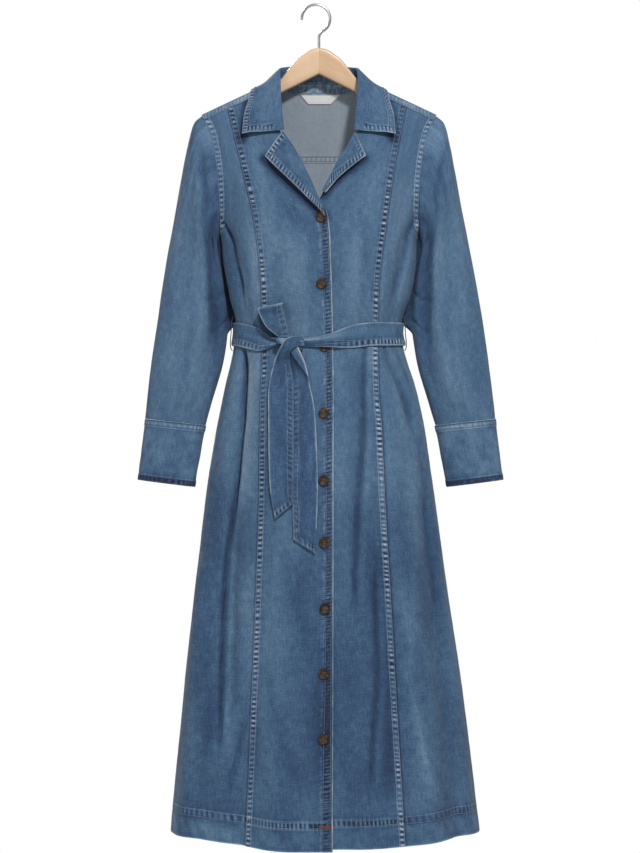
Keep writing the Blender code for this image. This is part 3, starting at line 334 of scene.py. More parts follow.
def smooth(values, slopes, k, t, step=1.0):
    """t of the way from values[k] to the next one, leaving and arriving with the given slopes."""
    ends = values[k] * (1 + 2 * t) * (1 - t) ** 2 + values[k + 1] * t * t * (3 - 2 * t)
    return ends + step * (slopes[k] * t * (1 - t) ** 2 + slopes[k + 1] * t * t * (t - 1))


def column(rows, key, z):
    """A smooth curve through one named column of a table, whose rows run down in z."""
    zs = np.array([-row.z for row in rows])
    values = np.array([getattr(row, key) for row in rows], float)
    at = np.clip(-np.asarray(z, float), zs[0], zs[-1])
    k = np.clip(np.searchsorted(zs, at) - 1, 0, len(zs) - 2)
    step = zs[k + 1] - zs[k]
    return smooth(values, np.gradient(values, zs), k, (at - zs[k]) / step, step)


def follow(path, z):
    """Where a path is at a height; its rows of (height, place) run down."""
    heights, places = np.transpose(path)
    return np.interp(-z, -heights, places)


def straight(rows, key, z):
    """One named column of a table, in straight lines between its rows."""
    return follow([(row.z, getattr(row, key)) for row in rows], z)


def turned(degrees):
    """The same angle, from -180 to 180."""
    return (degrees + 180) % 360 - 180


def nearest(values, value):
    """The place in a row of values where it comes nearest to one."""
    return int(np.argmin(np.abs(values - value)))


def through(points, count):
    """count points along a Catmull-Rom curve through the given ones; each point may be an array."""
    p = np.asarray(points, float)
    p = np.concatenate([[2 * p[0] - p[1]], p, [2 * p[-1] - p[-2]]])
    made = []
    for s in np.linspace(0, len(p) - 3, count):
        k = min(int(s), len(p) - 4)
        t = s - k
        a, b, c, d = p[k : k + 4]
        made.append(
            0.5 * (2 * b + (c - a) * t + (2 * a - 5 * b + 4 * c - d) * t * t + (3 * b - a - 3 * c + d) * t**3)
        )
    return np.array(made)


def ease(t):
    """From 0 to 1, flat at both ends."""
    t = np.clip(t, 0, 1)
    return t * t * (3 - 2 * t)


def unit(v):
    return v / np.maximum(np.linalg.norm(v, axis=-1, keepdims=True), 1e-12)


def moved_out(surface, u, v, proud):
    """The surface's points at (u, v), moved along its outward normal."""
    du, dv = 1e-4, 1e-5
    along_u = surface(u + du, v) - surface(u - du, v)
    along_v = surface(u, v + dv) - surface(u, v - dv)
    return surface(u, v) + unit(np.cross(along_u, along_v)) * np.asarray(proud)[..., None]


def ridge(x):
    """Height of the shoulder line."""
    return RIDGE_TOP - RIDGE_SLOPE * np.sqrt(x * x + RIDGE_ROUND**2)


def fold_depth(angle, z, half_width, depth):
    """How far the folds move the surface, outwards."""
    total = np.zeros(np.broadcast(angle, z).shape)
    degrees = np.degrees(angle)
    radius = MEAN_RADIUS * (half_width + depth)
    for fold in FOLDS:
        top, bottom = fold.path[0][0], fold.path[-1][0]
        inside = ease((top - z) / FOLD_FADE) * ease((z - bottom) / FOLD_FADE + float(bottom <= RINGS[-1].z))
        away = np.radians(np.abs(turned(degrees - follow(fold.path, z)))) * radius
        total = total + fold.depth * inside * bell(away, fold.half_width)
    return total


def body(angle, z):
    """A point of the body's surface: angle 0 is the middle of the front, 90 degrees the wearer's left."""
    width = column(RINGS, "half_width", z)
    s, c = np.sin(angle), np.cos(angle)
    x = column(RINGS, "centre", z) + width * np.sign(s) * np.abs(s) ** (2 / SECTION_POWER)
    across = np.abs(c) ** (2 / SECTION_POWER)
    full = np.where(c > 0, column(RINGS, "front", z), column(RINGS, "back", z))
    below = np.maximum(ridge(x) - z, 0)
    over_hanger = np.sqrt(np.maximum(FOLD_RADIUS**2 - np.maximum(FOLD_RADIUS - below, 0) ** 2, 0))
    keep = ease((z - UNDERARM_Z) / CHEST_BLEND)
    rise = np.sin(pi / 2 * np.clip(below / CHEST_DROP, 0, 1))
    depth = over_hanger * keep + (full - FOLD_RADIUS * keep) * rise * across
    folds = fold_depth(angle, z, width, full)
    outward = unit(np.stack([s * full, -c * width], axis=-1))
    y = -np.sign(c) * depth + outward[..., 1] * folds
    return np.stack([x + outward[..., 0] * folds, y, z + 0 * x], axis=-1)


def angle_at(x, z):
    """The body's angle, in front, where it is x from the middle."""
    x, z = np.broadcast_arrays(np.asarray(x, float), np.asarray(z, float))
    share = (x - column(RINGS, "centre", z)) / column(RINGS, "half_width", z)
    return np.sign(share) * np.arcsin(np.clip(np.abs(share), 0, 1) ** (SECTION_POWER / 2))


def front(x, z, proud=0.0):
    """The front's outer surface at x and z, moved out."""
    z = np.asarray(z, float)
    return moved_out(body, angle_at(x, z), z + 0 * np.asarray(x, float), proud + 0 * z)


def ridge_drop(along):
    """How far a point of the shoulder's surface lies below the shoulder line, along the surface from it."""
    quarter = FOLD_RADIUS * pi / 2
    away = np.abs(along)
    over_top = FOLD_RADIUS * (1 - np.cos(away / FOLD_RADIUS))
    return np.where(away < quarter, over_top, FOLD_RADIUS + away - quarter)


def shoulder(x, along):
    """The surface over a shoulder: along is 0 on the shoulder line, less in front, more behind."""
    z = ridge(x) - ridge_drop(along)
    angle = angle_at(x, z)
    return body(np.where(along > 0, pi - angle, angle), z)


def over(drop):
    """The length along the surface, from the shoulder line to a point drop below it."""
    if drop < FOLD_RADIUS:
        return FOLD_RADIUS * acos(1 - drop / FOLD_RADIUS)
    return FOLD_RADIUS * pi / 2 + drop - FOLD_RADIUS


def shares(lengths, at_start, at_end, between):
    """Where a row's columns lie, from 0 to 1: fixed distances from its ends, and even ones between."""
    made = []
    for length in lengths:
        first, last = np.array(at_start) / length, 1 - np.array(at_end)[::-1] / length
        made.append(np.concatenate([first, np.linspace(first[-1], last[0], between + 2)[1:-1], last]))
    return np.array(made)


def row_lengths(start, end, z):
    """The length of each row of a panel, from the angle start to the angle end."""
    t = np.linspace(0, 1, 25)
    points = body(start[:, None] * (1 - t) + end[:, None] * t, np.repeat(z[:, None], len(t), 1))
    return np.linalg.norm(np.diff(points, axis=1), axis=2).sum(1)


def front_top(x):
    """Height of the shoulder seam, on the fronts' side of it."""
    return ridge(x) - SEAM_FORWARD - GAP / 2


def back_armhole(z):
    side = np.abs(angle_at(column(ARMHOLE, "x", z), z))
    return np.where(z > UNDERARM_Z, pi - side, pi / 2)


def neck_edge(turn):
    """The neck's edge on the shoulder's surface: turn 0 is the middle of the back, pi / 2 the front seam."""
    front_seam = -over(SEAM_FORWARD - GAP / 2)
    back = over(float(ridge(0.0)) - BACK_NECK_Z)
    power = 2 / SECTION_POWER
    x = NECK_HALF_WIDTH * np.sin(turn) ** power
    return x, front_seam + (back - front_seam) * np.clip(np.cos(turn), 0, 1) ** power


def powered(value):
    return np.sign(value) * np.abs(value) ** (2 / SLEEVE_POWER)


def tube_point(sections, angle, along):
    """A point of a flattened tube on the +X side: angle 0 is its outer fold, 90 degrees its front."""
    at = np.clip(along, 0, len(sections) - 1)
    k = np.clip(at.astype(int), 0, len(sections) - 2)

    def part(key):
        values = np.array([getattr(s, key) for s in sections], float)
        return smooth(values, np.gradient(values), k, at - k)

    out_x, out_z, in_x, in_z = (part(key) for key in ("outer_x", "outer_z", "inner_x", "inner_z"))
    c, s = powered(np.cos(angle)), powered(np.sin(angle))
    x = (out_x + in_x) / 2 + (out_x - in_x) / 2 * c
    z = (out_z + in_z) / 2 + (out_z - in_z) / 2 * c
    return np.stack([x, part("centre_y") - part("half_depth") * s, z], axis=-1)


def armhole_point(angle):
    """The armhole's edge on the +X side, by the sleeve's angle."""
    first = SLEEVE[0]
    middle, half = (first.outer_z + first.inner_z) / 2, (first.outer_z - first.inner_z) / 2
    z = middle + half * powered(np.cos(angle))
    x = column(ARMHOLE, "x", z)
    side = np.abs(angle_at(x, z))
    made = body(np.where(np.sin(angle) >= 0, side, pi - side), z)
    made[..., 0] = x + ARMHOLE_CLEAR + (UNDERARM_CLEAR - ARMHOLE_CLEAR) * ease((-0.29 - z) / 0.07)
    return made


def sleeve_surface(angle, along):
    plain = tube_point(SLEEVE, angle, along)
    fade = 1 - ease(along / 2.2)
    joined = plain + (armhole_point(angle) - tube_point(SLEEVE, angle, 0 * along)) * fade[..., None]
    fold = SLEEVE_FOLD * ease((along - 2) / 2) * ease((9.5 - along) / 3)
    joined[..., 1] -= fold * bell(angle - SLEEVE_FOLD_ANGLE, SLEEVE_FOLD_SPREAD)
    return joined


def cuff_surface(angle, along):
    return tube_point(CUFF, angle, along)


def tube_grid(surface, angle, along, proud, side):
    """A sleeve's or a cuff's surface on its own side, hanging as it does there."""
    grid = moved_out(surface, angle, along, proud)
    grid[..., 0] += SWING[side] * ease((-0.22 - grid[..., 2]) / 0.72)
    return grid * np.array([-1 if side == "right" else 1, 1, 1])


def shoulder_place(x, z, behind, proud):
    """x, the way along the shoulder's surface, and the distance from it."""
    return x, behind * over(max(float(ridge(x)) - z, 0.0)), proud


def collar_base(neck):
    if neck <= 1:
        x, along = neck_edge(neck * pi / 2)
        return moved_out(shoulder, x, along, np.array(NECK_CLEAR))
    top = float(front_top(NECK_HALF_WIDTH))
    z = top + (NOTCH_Z - top) * (neck - 1)
    return front(column(FRONT_EDGE, "left", z), z, np.array(NECK_CLEAR))


def hanger_top(x):
    if x > DOME[-1].x:
        return float(ridge(x)) - HANGER_DROP
    return float(np.interp(x, [d.x for d in DOME], [d.z for d in DOME]))


# ---------------------------------------------------------------- fine cloth
EDGE_STEP = 0.0011  # columns beside a seam
ROW_STEP = 0.0021
SIDE_ROW_STEP = 0.0028
BACK_ROW_STEP = 0.0036
UPPER_ROWS = 96  # of a front, above the underarm
BACK_UPPER_ROWS = 60
HEM_PUCKER = 0.0052
HEM_RADIUS = 0.22  # turns the body's angle into a length round the hem
YOKE_END_X = 0.1945  # where the yoke's back seam meets the armhole
YOKE_FREE_X = 0.12  # from here out the yoke's columns are drawn to the armhole
INSIDE_STRIP = 0.0106  # the yoke's seam as it shows inside
SIDE_SEAM_RISE = 0.0004
SEAM_DIP = 0.0004  # where a panel goes under its neighbour's strip
SEAM_STEP = 0.0014  # how wide the step beside a seam's strip is
SIDE_BAND = 0.0100  # half the width of the seam allowance at the side
BAND_WALL = 0.0009
BAND_CLEAR = 0.0004
BAND_END = 0.012  # it ends this far above the hem's edge
SEAM_END = 0.004  # the armhole's stitches and the side's allowance end this far from the underarm
PLACKET_IN, PLACKET_OUT = 0.0031, 0.0100  # the button strip's two rows of stitches, from the front's edge
PLACKET_TOP = -0.345  # where they start
SIDE_STITCH_IN, SIDE_STITCH_TOP = 0.0022, -0.70  # the stitches along the lower half of the dress's side
HEM_BAR = (0.0000, 0.0190, -1.3500)  # x from, x to and z of the bar tack beside the buttons' strip
POCKET_BARS = ((-0.1685, -0.7645), (0.1705, -0.7645))
SEAM_TONES = table(  # the long seams' tone, by height
    "z right left",
    (-0.30, -0.36, -0.34),
    (-0.52, -0.34, -0.30),
    (-0.60, -0.42, 0.26),
    (-0.85, 0.00, 0.32),
    (-1.05, 0.05, 0.40),
    (-1.20, 0.26, 0.50),
)
PUCKER = 0.0082  # one puff of a double-stitched seam
PUFF = 0.0011
STITCH_IN = 0.0017  # from a strip's edge to its stitches
STITCH_PITCH = 0.0033
STITCH = (0.00120, 0.00040, 0.00042)  # half length, half width, height
STITCH_AHEAD = 0.0006  # a stitch points to the place this far along its line
STITCH_TURN = 0.10  # and is turned by up to this, to the side
CREASES = table(  # sharper than the solids' folds; ridge is the rise on a crease's left side, seen from outside
    "depth half_width ridge path",
    (-0.0045, 0.0040, 0.0016, ((-0.345, -68), (-0.400, -61), (-0.460, -56), (-0.520, -57))),
    (-0.0090, 0.0042, 0.0034, (
        (-0.560, -60), (-0.620, -51.6), (-0.689, -46.2), (-0.790, -45.2), (-0.912, -47.5), (-1.126, -43),
        (-1.240, -41))),
    (-0.0036, 0.0046, 0.0016, ((-1.170, -29), (-1.219, -31.5), (-1.272, -34.2), (-1.330, -36.5))),
    (-0.0030, 0.0130, 0.0000, ((-1.080, -21), (-1.200, -14), (-1.320, -4))),
    (-0.0024, 0.0130, 0.0000, ((-0.880, -13), (-0.950, -11), (-1.060, -3))),
    (-0.0050, 0.0036, 0.0022, (
        (-0.555, 30), (-0.640, 22), (-0.728, 18.6), (-0.830, 14.5), (-0.943, 11.5), (-1.020, 11))),
    (-0.0052, 0.0036, 0.0016, ((-0.930, 20.5), (-1.000, 19.7), (-1.106, 18.5), (-1.200, 15.5), (-1.310, 13))),
    (0.0028, 0.0060, 0.0000, ((-1.060, 31), (-1.123, 32.5), (-1.200, 35.5), (-1.300, 40))),
    (-0.0040, 0.0060, 0.0012, ((-0.345, 68), (-0.400, 60), (-0.460, 53), (-0.520, 50))),
    (-0.0036, 0.0066, 0.0010, ((-0.560, 45), (-0.600, 50), (-0.660, 57), (-0.740, 60))),
    (-0.0030, 0.0060, 0.0010, ((-0.560, 60), (-0.600, 66), (-0.680, 72))),
    (-0.0026, 0.0100, 0.0000, ((-0.700, 66), (-0.860, 62), (-1.020, 62))),
    (-0.0022, 0.0110, 0.0000, ((-0.400, -18), (-0.450, -25), (-0.520, -24))),
    (-0.0020, 0.0100, 0.0000, ((-0.340, 20), (-0.430, 24), (-0.520, 30))),
    (-0.0050, 0.0050, 0.0024, ((-0.560, 128), (-0.700, 134), (-0.950, 137), (-1.180, 139))),
    (-0.0042, 0.0060, 0.0020, ((-0.560, 232), (-0.680, 228), (-0.880, 226), (-1.060, 225))),
    (-0.0040, 0.0070, 0.0016, ((-0.560, 184), (-0.720, 181), (-0.960, 182), (-1.120, 184))),
    (-0.0030, 0.0070, 0.0010, ((-1.050, 165), (-1.180, 163), (-1.320, 158))),
    (-0.0030, 0.0070, 0.0010, ((-1.120, 205), (-1.220, 208), (-1.330, 212))),
    (-0.0036, 0.0060, 0.0012, ((-0.330, 122), (-0.400, 128), (-0.520, 139))),
    (-0.0036, 0.0060, 0.0012, ((-0.330, 238), (-0.410, 231), (-0.520, 221))),
    (-0.0024, 0.0110, 0.0000, ((-0.300, 172), (-0.420, 178), (-0.520, 176))),
)
GATHERS = 38  # short puckers above and below the belt, all round
GATHER_DEPTH = 0.0022
GATHER_HALF_WIDTH = 0.0046
GATHER_LENGTHS = ((1, 0.030), (-1, 0.048))  # above the belt and below it
WASH_AND_SHADE_BANDS = table(  # broad light and dark: the wash's own tone, with painted shade along folds, beside the sleeves and under the lapels; the path is (height, x), and the back has them mirrored
    "tone half_width path",
    (0.50, 0.018, ((-0.579, -0.108), (-0.657, -0.107), (-0.739, -0.110), (-0.830, -0.115))),
    (-0.38, 0.022, ((-0.772, -0.169), (-0.920, -0.172), (-1.051, -0.179), (-1.215, -0.176))),
    (-0.18, 0.024, ((-0.920, -0.031), (-1.051, -0.021), (-1.183, -0.002), (-1.298, 0.002))),
    (-0.40, 0.013, ((-0.895, 0.077), (-1.018, 0.085), (-1.150, 0.090), (-1.298, 0.087))),
    (-0.30, 0.034, ((-0.822, 0.048), (-0.986, 0.054), (-1.150, 0.054), (-1.298, 0.054))),
    (0.20, 0.010, ((-0.986, 0.120), (-1.133, 0.136), (-1.314, 0.156))),
    (0.10, 0.022, ((-0.611, 0.112), (-0.706, 0.118), (-0.805, 0.123))),
    (-0.16, 0.030, ((-0.600, 0.050), (-0.680, 0.055), (-0.800, 0.058))),
    (0.18, 0.026, ((-0.880, -0.060), (-1.000, -0.060), (-1.340, -0.062))),
    (0.14, 0.030, ((-0.860, -0.170), (-1.000, -0.180), (-1.180, -0.186))),
    (-0.20, 0.024, ((-0.895, 0.163), (-1.117, 0.186), (-1.298, 0.202))),
    (0.18, 0.022, ((-0.920, -0.110), (-1.051, -0.094), (-1.215, -0.084))),
    (0.15, 0.022, ((-0.354, -0.094), (-0.493, -0.094))),
    (0.18, 0.018, ((-0.378, 0.043), (-0.493, 0.051))),
    (0.28, 0.028, ((-0.378, -0.052), (-0.493, -0.056))),
    (0.20, 0.016, ((-0.300, 0.128), (-0.460, 0.122))),
    (-0.35, 0.010, ((-0.247, -0.161), (-0.329, -0.156), (-0.428, -0.149), (-0.509, -0.136))),
    (-0.30, 0.010, ((-0.247, 0.161), (-0.345, 0.156), (-0.444, 0.146), (-0.523, 0.133))),
    (-0.30, 0.014, ((-0.329, -0.048), (-0.354, -0.031), (-0.386, -0.011))),
)
TONE_BY_HEIGHT = ((-0.30, 0.00), (-0.50, 0.02), (-0.75, -0.10), (-0.92, -0.27), (-1.39, -0.30))  # tone by height, darker towards the hem
EDGE_SHADE = 0.0078  # how far the painted shadow reaches beside the collar's and lapels' edges
EDGE_SHADE_MOVE = (-0.0022, -0.0042)  # and where its middle lies from them, down and to the left, as the shadow of a light at the upper right


def wash_and_shade(angle, z):
    """The broad tone: the wash's own, with painted shade along folds, beside the sleeves and under the lapels."""
    x = column(RINGS, "half_width", z) * np.sin(angle) * np.where(np.cos(angle) > 0, 1, -1)
    tone = follow(TONE_BY_HEIGHT, z)
    for band in WASH_AND_SHADE_BANDS:
        top, bottom = band.path[0][0], band.path[-1][0]
        ends = ease((top + 0.03 - z) / 0.06) * ease((z - bottom + 0.04) / 0.08)
        tone = tone + band.tone * ends * bell(x - follow(band.path, z), band.half_width)
    return tone


def noise(x, y, seed):
    """Smooth noise from -1 to 1 on a unit grid."""
    x, y = np.broadcast_arrays(np.asarray(x, float), np.asarray(y, float))
    i, j = np.floor(x), np.floor(y)
    fx, fy = ease(x - i), ease(y - j)

    def corner(a, b):
        n = np.sin(a * 127.1 + b * 311.7 + seed * 74.7) * 43758.5453
        return 2 * (n - np.floor(n)) - 1

    low = corner(i, j) * (1 - fx) + corner(i + 1, j) * fx
    high = corner(i, j + 1) * (1 - fx) + corner(i + 1, j + 1) * fx
    return low * (1 - fy) + high * fy


def bell(distance, half_width):
    return np.exp(-((distance / half_width) ** 2))


def ladder(
    across, along, seed, width=SEAM_WIDTH, strength=1.0, slant=0.12, base=0.0, pitch=PUCKER, sway=0.5
):
    """Height and fade of a strip stitched along both sides: light where it puffs up, dark where it dips."""
    t = across / width
    beat = along / pitch + sway * noise(along / 0.025, 0, seed) + slant * t
    which = np.floor(beat + 0.5)
    own = 1 + 0.34 * noise(which * 1.37, 7, seed)
    other = 1 + 0.55 * noise(which * 1.91, 9, seed)
    puff = ease((np.cos(2 * pi * beat) + 0.75) / 1.3)
    local = strength * (0.85 + 0.55 * noise(along / 0.045, 5, seed))
    middle = np.exp(-((np.abs(t - 0.5) / 0.345) ** 4))
    rows = bell(across - STITCH_IN, 0.0007) + bell(width - STITCH_IN - across, 0.0007)
    edges = bell(across - 0.0002, 0.0007) + bell(width - across - 0.0002, 0.0007)
    away = np.maximum(np.abs(t - 0.5) * width - width / 2, 0)
    near = np.exp(-away / 0.0045) * (1 - middle)
    height = PUFF * local * (middle * own + 0.3 * near) * (puff - 0.5) - 0.0003 * rows
    spot = noise(across / 0.0022, along / 0.0022, seed + 40)
    fade = local * middle * ((1.05 * own + 0.30 * spot) * puff - 1.15 * other * (1 - puff))
    fade = fade + 0.35 * local * near * (puff - 0.5) - 0.55 * rows - 0.30 * near
    fade = fade + base * np.where(away > 0, 0.25 * near, 1)
    return height, fade + 0.9 * edges * (away <= 0.0012)


def edge_worn(distance, seed, along, reach=0.0016):
    """Fade of a turned edge, where the dye has worn off."""
    return 1.25 * bell(distance, reach) * (0.85 + 0.3 * noise(along / 0.012, 2, seed))


def near_path(x, z, path):
    """Distance from points of the front to a path across it."""
    away = np.full(np.shape(x), 1.0)
    for (x0, z0), (x1, z1) in zip(path, path[1:]):
        dx, dz = x1 - x0, z1 - z0
        t = np.clip(((x - x0) * dx + (z - z0) * dz) / max(dx * dx + dz * dz, 1e-9), 0, 1)
        away = np.minimum(away, np.hypot(x - x0 - t * dx, z - z0 - t * dz))
    return away


def painted_edge_shadow(angle, z):
    """Painted shadow along and under the collar's and the lapels' edges."""
    x = body(angle, z)[..., 0]
    shade = 0 * x
    corner = [(row.edge_x, row.edge_z) for row in COLLAR[-4:]]
    paths = [corner, [(-a, b) for a, b in corner]]
    paths += [[(row.edge_x, row.edge_z) for row in rows] for rows in LAPELS.values()]
    for path in paths:
        moved = [(a + EDGE_SHADE_MOVE[0], b + EDGE_SHADE_MOVE[1]) for a, b in path]
        shade = np.maximum(shade, bell(near_path(x, z, moved), EDGE_SHADE))
    return shade * (np.cos(angle) > 0) * (z > -0.42)


def creases(angle, z):
    """Height of the body's sharp creases, and their fade: painted shade in each valley and a painted highlight on the
    ridge beside it.
    """
    degrees = np.degrees(angle)
    depth = np.where(np.cos(angle) > 0, column(RINGS, "front", z), column(RINGS, "back", z))
    radius = MEAN_RADIUS * (column(RINGS, "half_width", z) + depth)
    total, tone = np.zeros(degrees.shape), np.zeros(degrees.shape)
    for crease in CREASES:
        top, bottom = crease.path[0][0], crease.path[-1][0]
        inside = ease((top - z) / 0.03) * ease((z - bottom) / 0.06)
        away = np.radians(turned(degrees - follow(crease.path, z))) * radius
        valley = np.exp(-np.abs(away / crease.half_width) ** 1.5)
        side = bell(away - 2.4 * crease.half_width, 1.7 * crease.half_width)
        total += inside * (crease.depth * valley + crease.ridge * side)
        # painted shade in the valley, painted highlight on the ridge
        tone += inside * (100 * crease.depth * valley + 110 * crease.ridge * side)
    return total, tone


def gathers(angle, z):
    """The depth of the puckers beside the belt."""
    radius = MEAN_RADIUS * (column(RINGS, "half_width", z) + column(RINGS, "front", z))
    total = np.zeros(np.shape(angle))
    for k in range(GATHERS):
        at = 2 * pi * (k + 0.4 * float(noise(k * 7.3, 1, 11))) / GATHERS
        for side, reach in GATHER_LENGTHS:
            size = 0.5 + 0.5 * float(noise(k * 3.1, 4 * side, 12))
            length = reach * (0.5 + size)
            beyond = side * (z - BELT_Z) - BELT_HALF + 0.006
            lean = 0.10 * float(noise(k * 5.7, 2, 13)) * beyond / length
            away = ((angle - at - lean + pi) % (2 * pi) - pi) * radius
            shape = bell(away, GATHER_HALF_WIDTH) * ease(beyond / 0.006) * ease(1 - beyond / length)
            total -= GATHER_DEPTH * size * shape
    return total


def undulation(angle, z):
    """The cloth's unevenness: soft long waves, and a fine crumple. It meets at the sides, front to back."""
    around = (angle + pi) % (2 * pi) - pi
    rear = np.cos(angle) < 0
    u = 0.14 * np.where(rear, np.where(around > 0, pi - around, -pi - around), around)
    behind = ease((0.35 - np.cos(angle)) / 0.7)
    height, tone = 0, 0
    for shift, share in ((0, 1 - behind), (40, behind)):
        waves, crumple = noise(u / 0.040 + 3 * z, z / 0.16, 1 + shift), noise(u / 0.014, z / 0.030, 2 + shift)
        broad, fine = noise(u / 0.030, z / 0.11, 3 + shift), noise(u / 0.011, z / 0.028, 4 + shift)
        height = height + share * (0.0013 * waves + 0.00036 * crumple)
        tone = tone + share * (0.20 * broad + 0.08 * fine)
    return height, tone


def body_relief(angle, z):
    """Height over the solids' surface, and fade, with painted shade in the creases and the gathers and a painted
    shadow under the collar and the lapels.
    """
    sharp, tone = creases(angle, z)
    soft, mottle = undulation(angle, z)
    under_belt = ease((np.abs(z - BELT_Z) - BELT_HALF + 0.002) / 0.008)
    under_collar = ease((-0.335 - z) / 0.05)
    gathered = gathers(angle, z)
    height = (sharp + gathered) * (0.15 + 0.85 * under_belt) + soft * under_belt * (0.3 + 0.7 * under_collar)
    # the gathers' depth paints shade into them; the broad tone holds painted shade too
    return height, tone + mottle + 60 * gathered + wash_and_shade(angle, z) - 1.45 * painted_edge_shadow(angle, z)


def below(height, reach=2):
    """The lowest height near each point, so that a coarser inner wall doesn't come through a crease."""
    low = height
    for axis in (0, 1):
        padded = np.pad(low, [(reach, reach) if a == axis else (0, 0) for a in (0, 1)], mode="edge")
        count = low.shape[axis]
        low = np.min([padded.take(range(k, k + count), axis=axis) for k in range(2 * reach + 1)], axis=0)
    return low


def normals_of(grid, closed=False):
    along_v = np.gradient(grid, axis=0)
    along_u = (np.roll(grid, -1, 1) - np.roll(grid, 1, 1)) / 2 if closed else np.gradient(grid, axis=1)
    return unit(np.cross(along_u, along_v))


def in_scene(name, data, material=None):
    """The data as an object of the scene; a mesh gets its material, and is smooth."""
    if material:
        data.shade_smooth()
        data.materials.append(MATERIALS[material])
    made = bpy.data.objects.new(name, data)
    bpy.context.scene.collection.objects.link(made)
    return made


def point_values(mesh, label, values):
    """Gives every point a number or a vector that the materials read."""
    kind, key = ("FLOAT_VECTOR", "vector") if np.ndim(values) == 2 else ("FLOAT", "value")
    mesh.attributes.new(label, kind, "POINT").data.foreach_set(key, np.ravel(values).astype(np.float32))


def quads(rows, columns, closed):
    """The corners of a grid's faces, as four arrays of point numbers."""
    j, i = np.meshgrid(np.arange(rows - 1), np.arange(columns if closed else columns - 1), indexing="ij")
    k = (i + 1) % columns
    return j * columns + i, (j + 1) * columns + i, (j + 1) * columns + k, j * columns + k


class Piece:
    """One cloth wall, fine outside and half as fine inside."""

    def __init__(self, name, outer, inner, fade, closed=False, material="denim", flip=False, sides=(0.0, 1.0)):
        self.outer, self.closed = outer, closed
        rows, columns = outer.shape[:2]
        steps_u = np.linalg.norm(np.diff(outer, axis=1), axis=2).mean(0)
        steps_v = np.linalg.norm(np.diff(outer, axis=0), axis=2).mean(1)
        u = np.concatenate([[0], np.cumsum(steps_u)])
        v = np.concatenate([[0], np.cumsum(steps_v)])
        cloth = np.stack(np.broadcast_arrays(u[None, :], v[:, None], 0.0), axis=-1)
        self.size = (u[-1] + (steps_u[-1] if closed else 0), v[-1])
        small = inner[::2, ::2]
        high, wide = small.shape[:2]
        count = rows * columns
        points = outer.reshape(-1, 3)
        a, b, c, d = quads(rows, columns, closed)
        self.area = float(np.linalg.norm(np.cross(points[a] - points[c], points[b] - points[d]), axis=-1).sum() / 2)
        outside = np.stack([a, b, c, d], -1)
        a, b, c, d = quads(high, wide, closed)
        inside = count + np.stack([a, d, c, b], -1)
        faces = outside.reshape(-1, 4).tolist() + inside.reshape(-1, 4).tolist()
        for row, low in ((0, 0), (rows - 1, high - 1)):
            for i in range(wide if closed else wide - 1):
                rim = [row * columns + c for c in (2 * i, 2 * i + 1, (2 * i + 2) % columns)]
                rim += [count + low * wide + (i + 1) % wide, count + low * wide + i]
                faces.append(rim if row else rim[::-1])
        if not closed:
            for line, low in ((0, 0), (columns - 1, wide - 1)):
                for i in range(high - 1):
                    rim = [(2 * i + c) * columns + line for c in range(3)]
                    rim += [count + (i + 1) * wide + low, count + i * wide + low]
                    faces.append(rim[::-1] if line else rim)
        if flip:
            faces = [f[::-1] for f in faces]
        points = np.concatenate([points, small.reshape(-1, 3)])
        points[:, 0] += CENTRE_X
        mesh = bpy.data.meshes.new(name)
        mesh.from_pydata(points.tolist(), [], faces)
        mesh.validate()
        inner_fade = (0.35 if sides[1] else 1) * fade[::2, ::2]
        # fade carries the cloth's wash and wear together with the light and shade painted into it
        point_values(mesh, "fade", np.concatenate([fade.ravel(), inner_fade.ravel()]))
        point_values(mesh, "inside", np.repeat(sides, (count, high * wide)))
        point_values(mesh, "cloth", np.concatenate([cloth.reshape(-1, 3), cloth[::2, ::2].reshape(-1, 3)]))
        self.object = in_scene(name, mesh, material)
        self.normals = normals_of(outer, closed)
        if np.median(np.einsum("ijk,ijk->ij", self.normals, outer - inner)) < 0:
            self.normals = -self.normals

    def wear(self, nodes, rests_on, slot="denim"):
        """Hides the solid parts that the piece replaces and puts it under the root; the cloth it was cut from is not
        used.
        """
        if nodes:
            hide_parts(*nodes)
        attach(self.object, "root")

    def at(self, rows, columns):
        """Points of the outer side, with their normals."""
        return self.outer[rows, columns], self.normals[rows, columns]

    def row_line(self, k):
        line, normal = self.at(k, slice(None))
        if self.closed:
            line, normal = np.concatenate([line, line[:1]]), np.concatenate([normal, normal[:1]])
        return line, normal


SEWN = {}  # thread object's name: list of rows of stitches
THREADS = {
    "stitches_cuff_ends": "rust_thread", "stitches_yoke_inside": "tan_thread", "stitches_bars": "rust_thread",
    "stitches_cuffs": "blue_thread", "stitches_buttonholes": "blue_thread", "stitches_yoke": "brown_thread",
}


def sew(thread, line, normal, first=0.0, last=1.0, pitch=STITCH_PITCH):
    """Puts a row of stitches along a line on the cloth."""
    away = np.concatenate([[0], np.cumsum(np.linalg.norm(np.diff(line, axis=0), axis=1))])
    total = away[-1] * (last - first)
    count = max(int(total / pitch), 1)
    at = away[-1] * first + (np.arange(count) + 0.5) * total / count

    def place(values, along):
        return np.stack([np.interp(along, away, values[:, c]) for c in range(3)], -1)

    where = place(line, at)
    SEWN.setdefault(thread, []).append((where, unit(place(line, at + STITCH_AHEAD) - where), unit(place(normal, at))))


